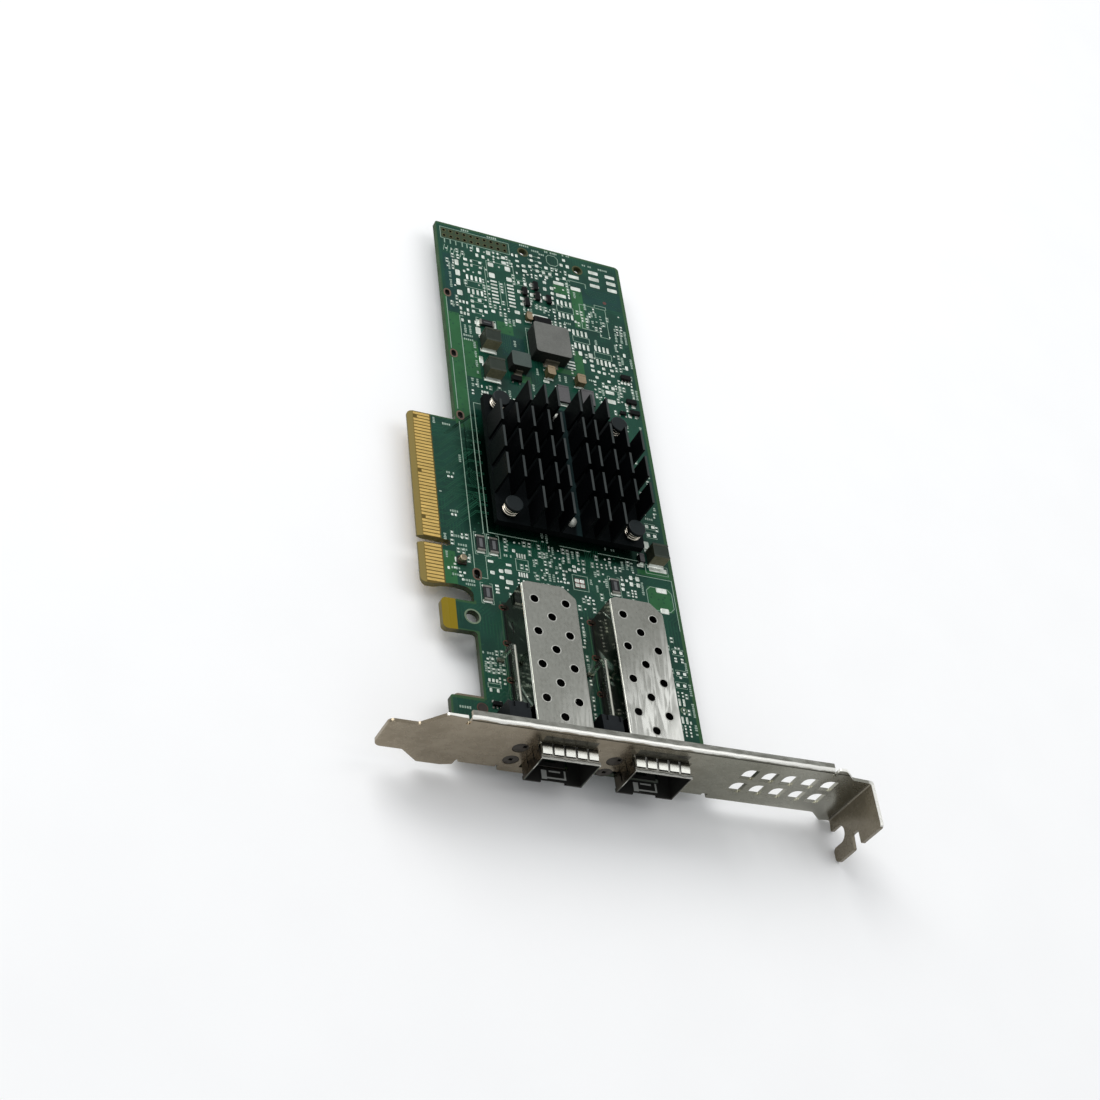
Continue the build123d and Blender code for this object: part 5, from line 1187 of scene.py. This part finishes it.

# ------------------------------------------------------------------ details on the fitted parts
# painted highlight: a pale strip along the right-hand top edge of each upper light pipe
pipe_highlights = Solids()
for x in (17.92, 40.92):
    pipe_highlights.rings([[(x - 0.22, -46.6, 7.78), (x + 0.22, -46.6, 7.78), (x + 0.22, -31.8, 7.78), (x - 0.22, -31.8, 7.78)],
                  [(x - 0.15, -46.5, 7.83), (x + 0.15, -46.5, 7.83), (x + 0.15, -31.9, 7.83), (x - 0.15, -31.9, 7.83)]])
pipe_highlights.piece("light_pipe_highlight_strips", PIPE_HIGHLIGHT, "clear_plastic")

panels = Solids()
for x0, x1, y0, y1 in ((15.00, 17.00, -0.85, 3.65), (18.35, 20.45, -0.85, 3.60), (15.40, 17.50, -15.00, -10.90), (50.30, 52.40, -6.20, -1.95)):
    cx, cy = (x0 + x1) / 2, (y0 + y1) / 2
    panels.box(cx - 0.42, cx + 0.42, cy - 1.25, cy + 1.25, 0.59, 0.63)
panels.box(23.7, 25.7, 74.6, 74.95, 0.79, 0.825)
panels.piece("resistor_panels", PANEL, "resistor_grey", bevel=0.015)

# soft edges catch the light on the modelled parts
for name, width in (("slot_bracket", 0.10), ("large_inductor_body", 0.14), ("small_inductor_body", 0.12), ("block_capacitor_bodies", 0.10),
                    ("block_capacitor_end_caps", 0.12), ("tan_capacitor_bodies", 0.16), ("ferrite_bodies", 0.08), ("ferrite_end_caps", 0.08),
                    ("heatsink", 0.07), ("flat_resistor_bodies", 0.05), ("power_transistor_body", 0.06), ("transistor_bodies", 0.07)):
    obj = NODES[name]
    weld = obj.modifiers.new("weld", "WELD")
    weld.merge_threshold = 0.000002
    soft = obj.modifiers.new("soft_edges", "BEVEL")
    soft.width, soft.segments, soft.limit_method, soft.angle_limit = width / 1000, 2, "ANGLE", math.radians(40)
    soft.harden_normals = False

# ------------------------------------------------------------------ floor, light and camera
floor_look = Look("floor_pale", spec=0.1)
grain = floor_look.noise(40, 3, 0.5)
floor_look.finish(floor_look.ramp(grain, [(0.3, (0.970, 0.970, 0.970)), (0.7, (0.985, 0.985, 0.985))]), 0.9)
mesh = bpy.data.meshes.new("floor")
mesh.from_pydata([(-3, -3, 0), (3, -3, 0), (3, 3, 0), (-3, 3, 0)], [], [(0, 1, 2, 3)])
mesh.materials.append(floor_look.mat)
floor = bpy.data.objects.new("floor", mesh)
bpy.context.scene.collection.objects.link(floor)

scene = bpy.context.scene
world = bpy.data.worlds.new("studio")
scene.world = world
world.use_nodes = True
sky = world.node_tree.nodes["Background"]
sky.inputs[0].default_value = (0.96, 0.98, 1.0, 1)
sky.inputs[1].default_value = 0.56


def softbox(name, place, aim, size, power, tint=(1, 1, 1)):
    data = bpy.data.lights.new(name, "AREA")
    data.shape = "RECTANGLE"
    data.size, data.size_y = size
    data.energy = power
    data.color = tint
    obj = bpy.data.objects.new(name, data)
    scene.collection.objects.link(obj)
    obj.location = place
    obj.rotation_euler = (Vector(aim) - Vector(place)).to_track_quat("-Z", "Y").to_euler()
    return obj


softbox("key", (-0.50, 0.72, 0.87), (0.0, 0.0, 0.0), (0.82, 0.82), 8.6)
softbox("overhead", (0.45, -0.02, 1.00), (0.0, -0.03, 0.0), (0.50, 0.86), 1.9)

camera = bpy.data.cameras.new("camera")
camera.sensor_width = 36.0
camera.lens = 36.0 * 1865.19 / 1100.0
camera.clip_start, camera.clip_end = 0.02, 20.0
eye = bpy.data.objects.new("camera", camera)
scene.collection.objects.link(eye)
turn = Matrix(((0.8975569, -0.1714735, -0.4061876), (-0.1090026, 0.8063720, -0.5812768), (0.4272119, 0.5660045, 0.7050737)))
eye.matrix_world = Matrix.Translation((-0.1939934, -0.2789128, 0.3246589)) @ turn.to_4x4()
scene.camera = eye
scene.view_settings.view_transform = "Standard"
scene.view_settings.look = "None"
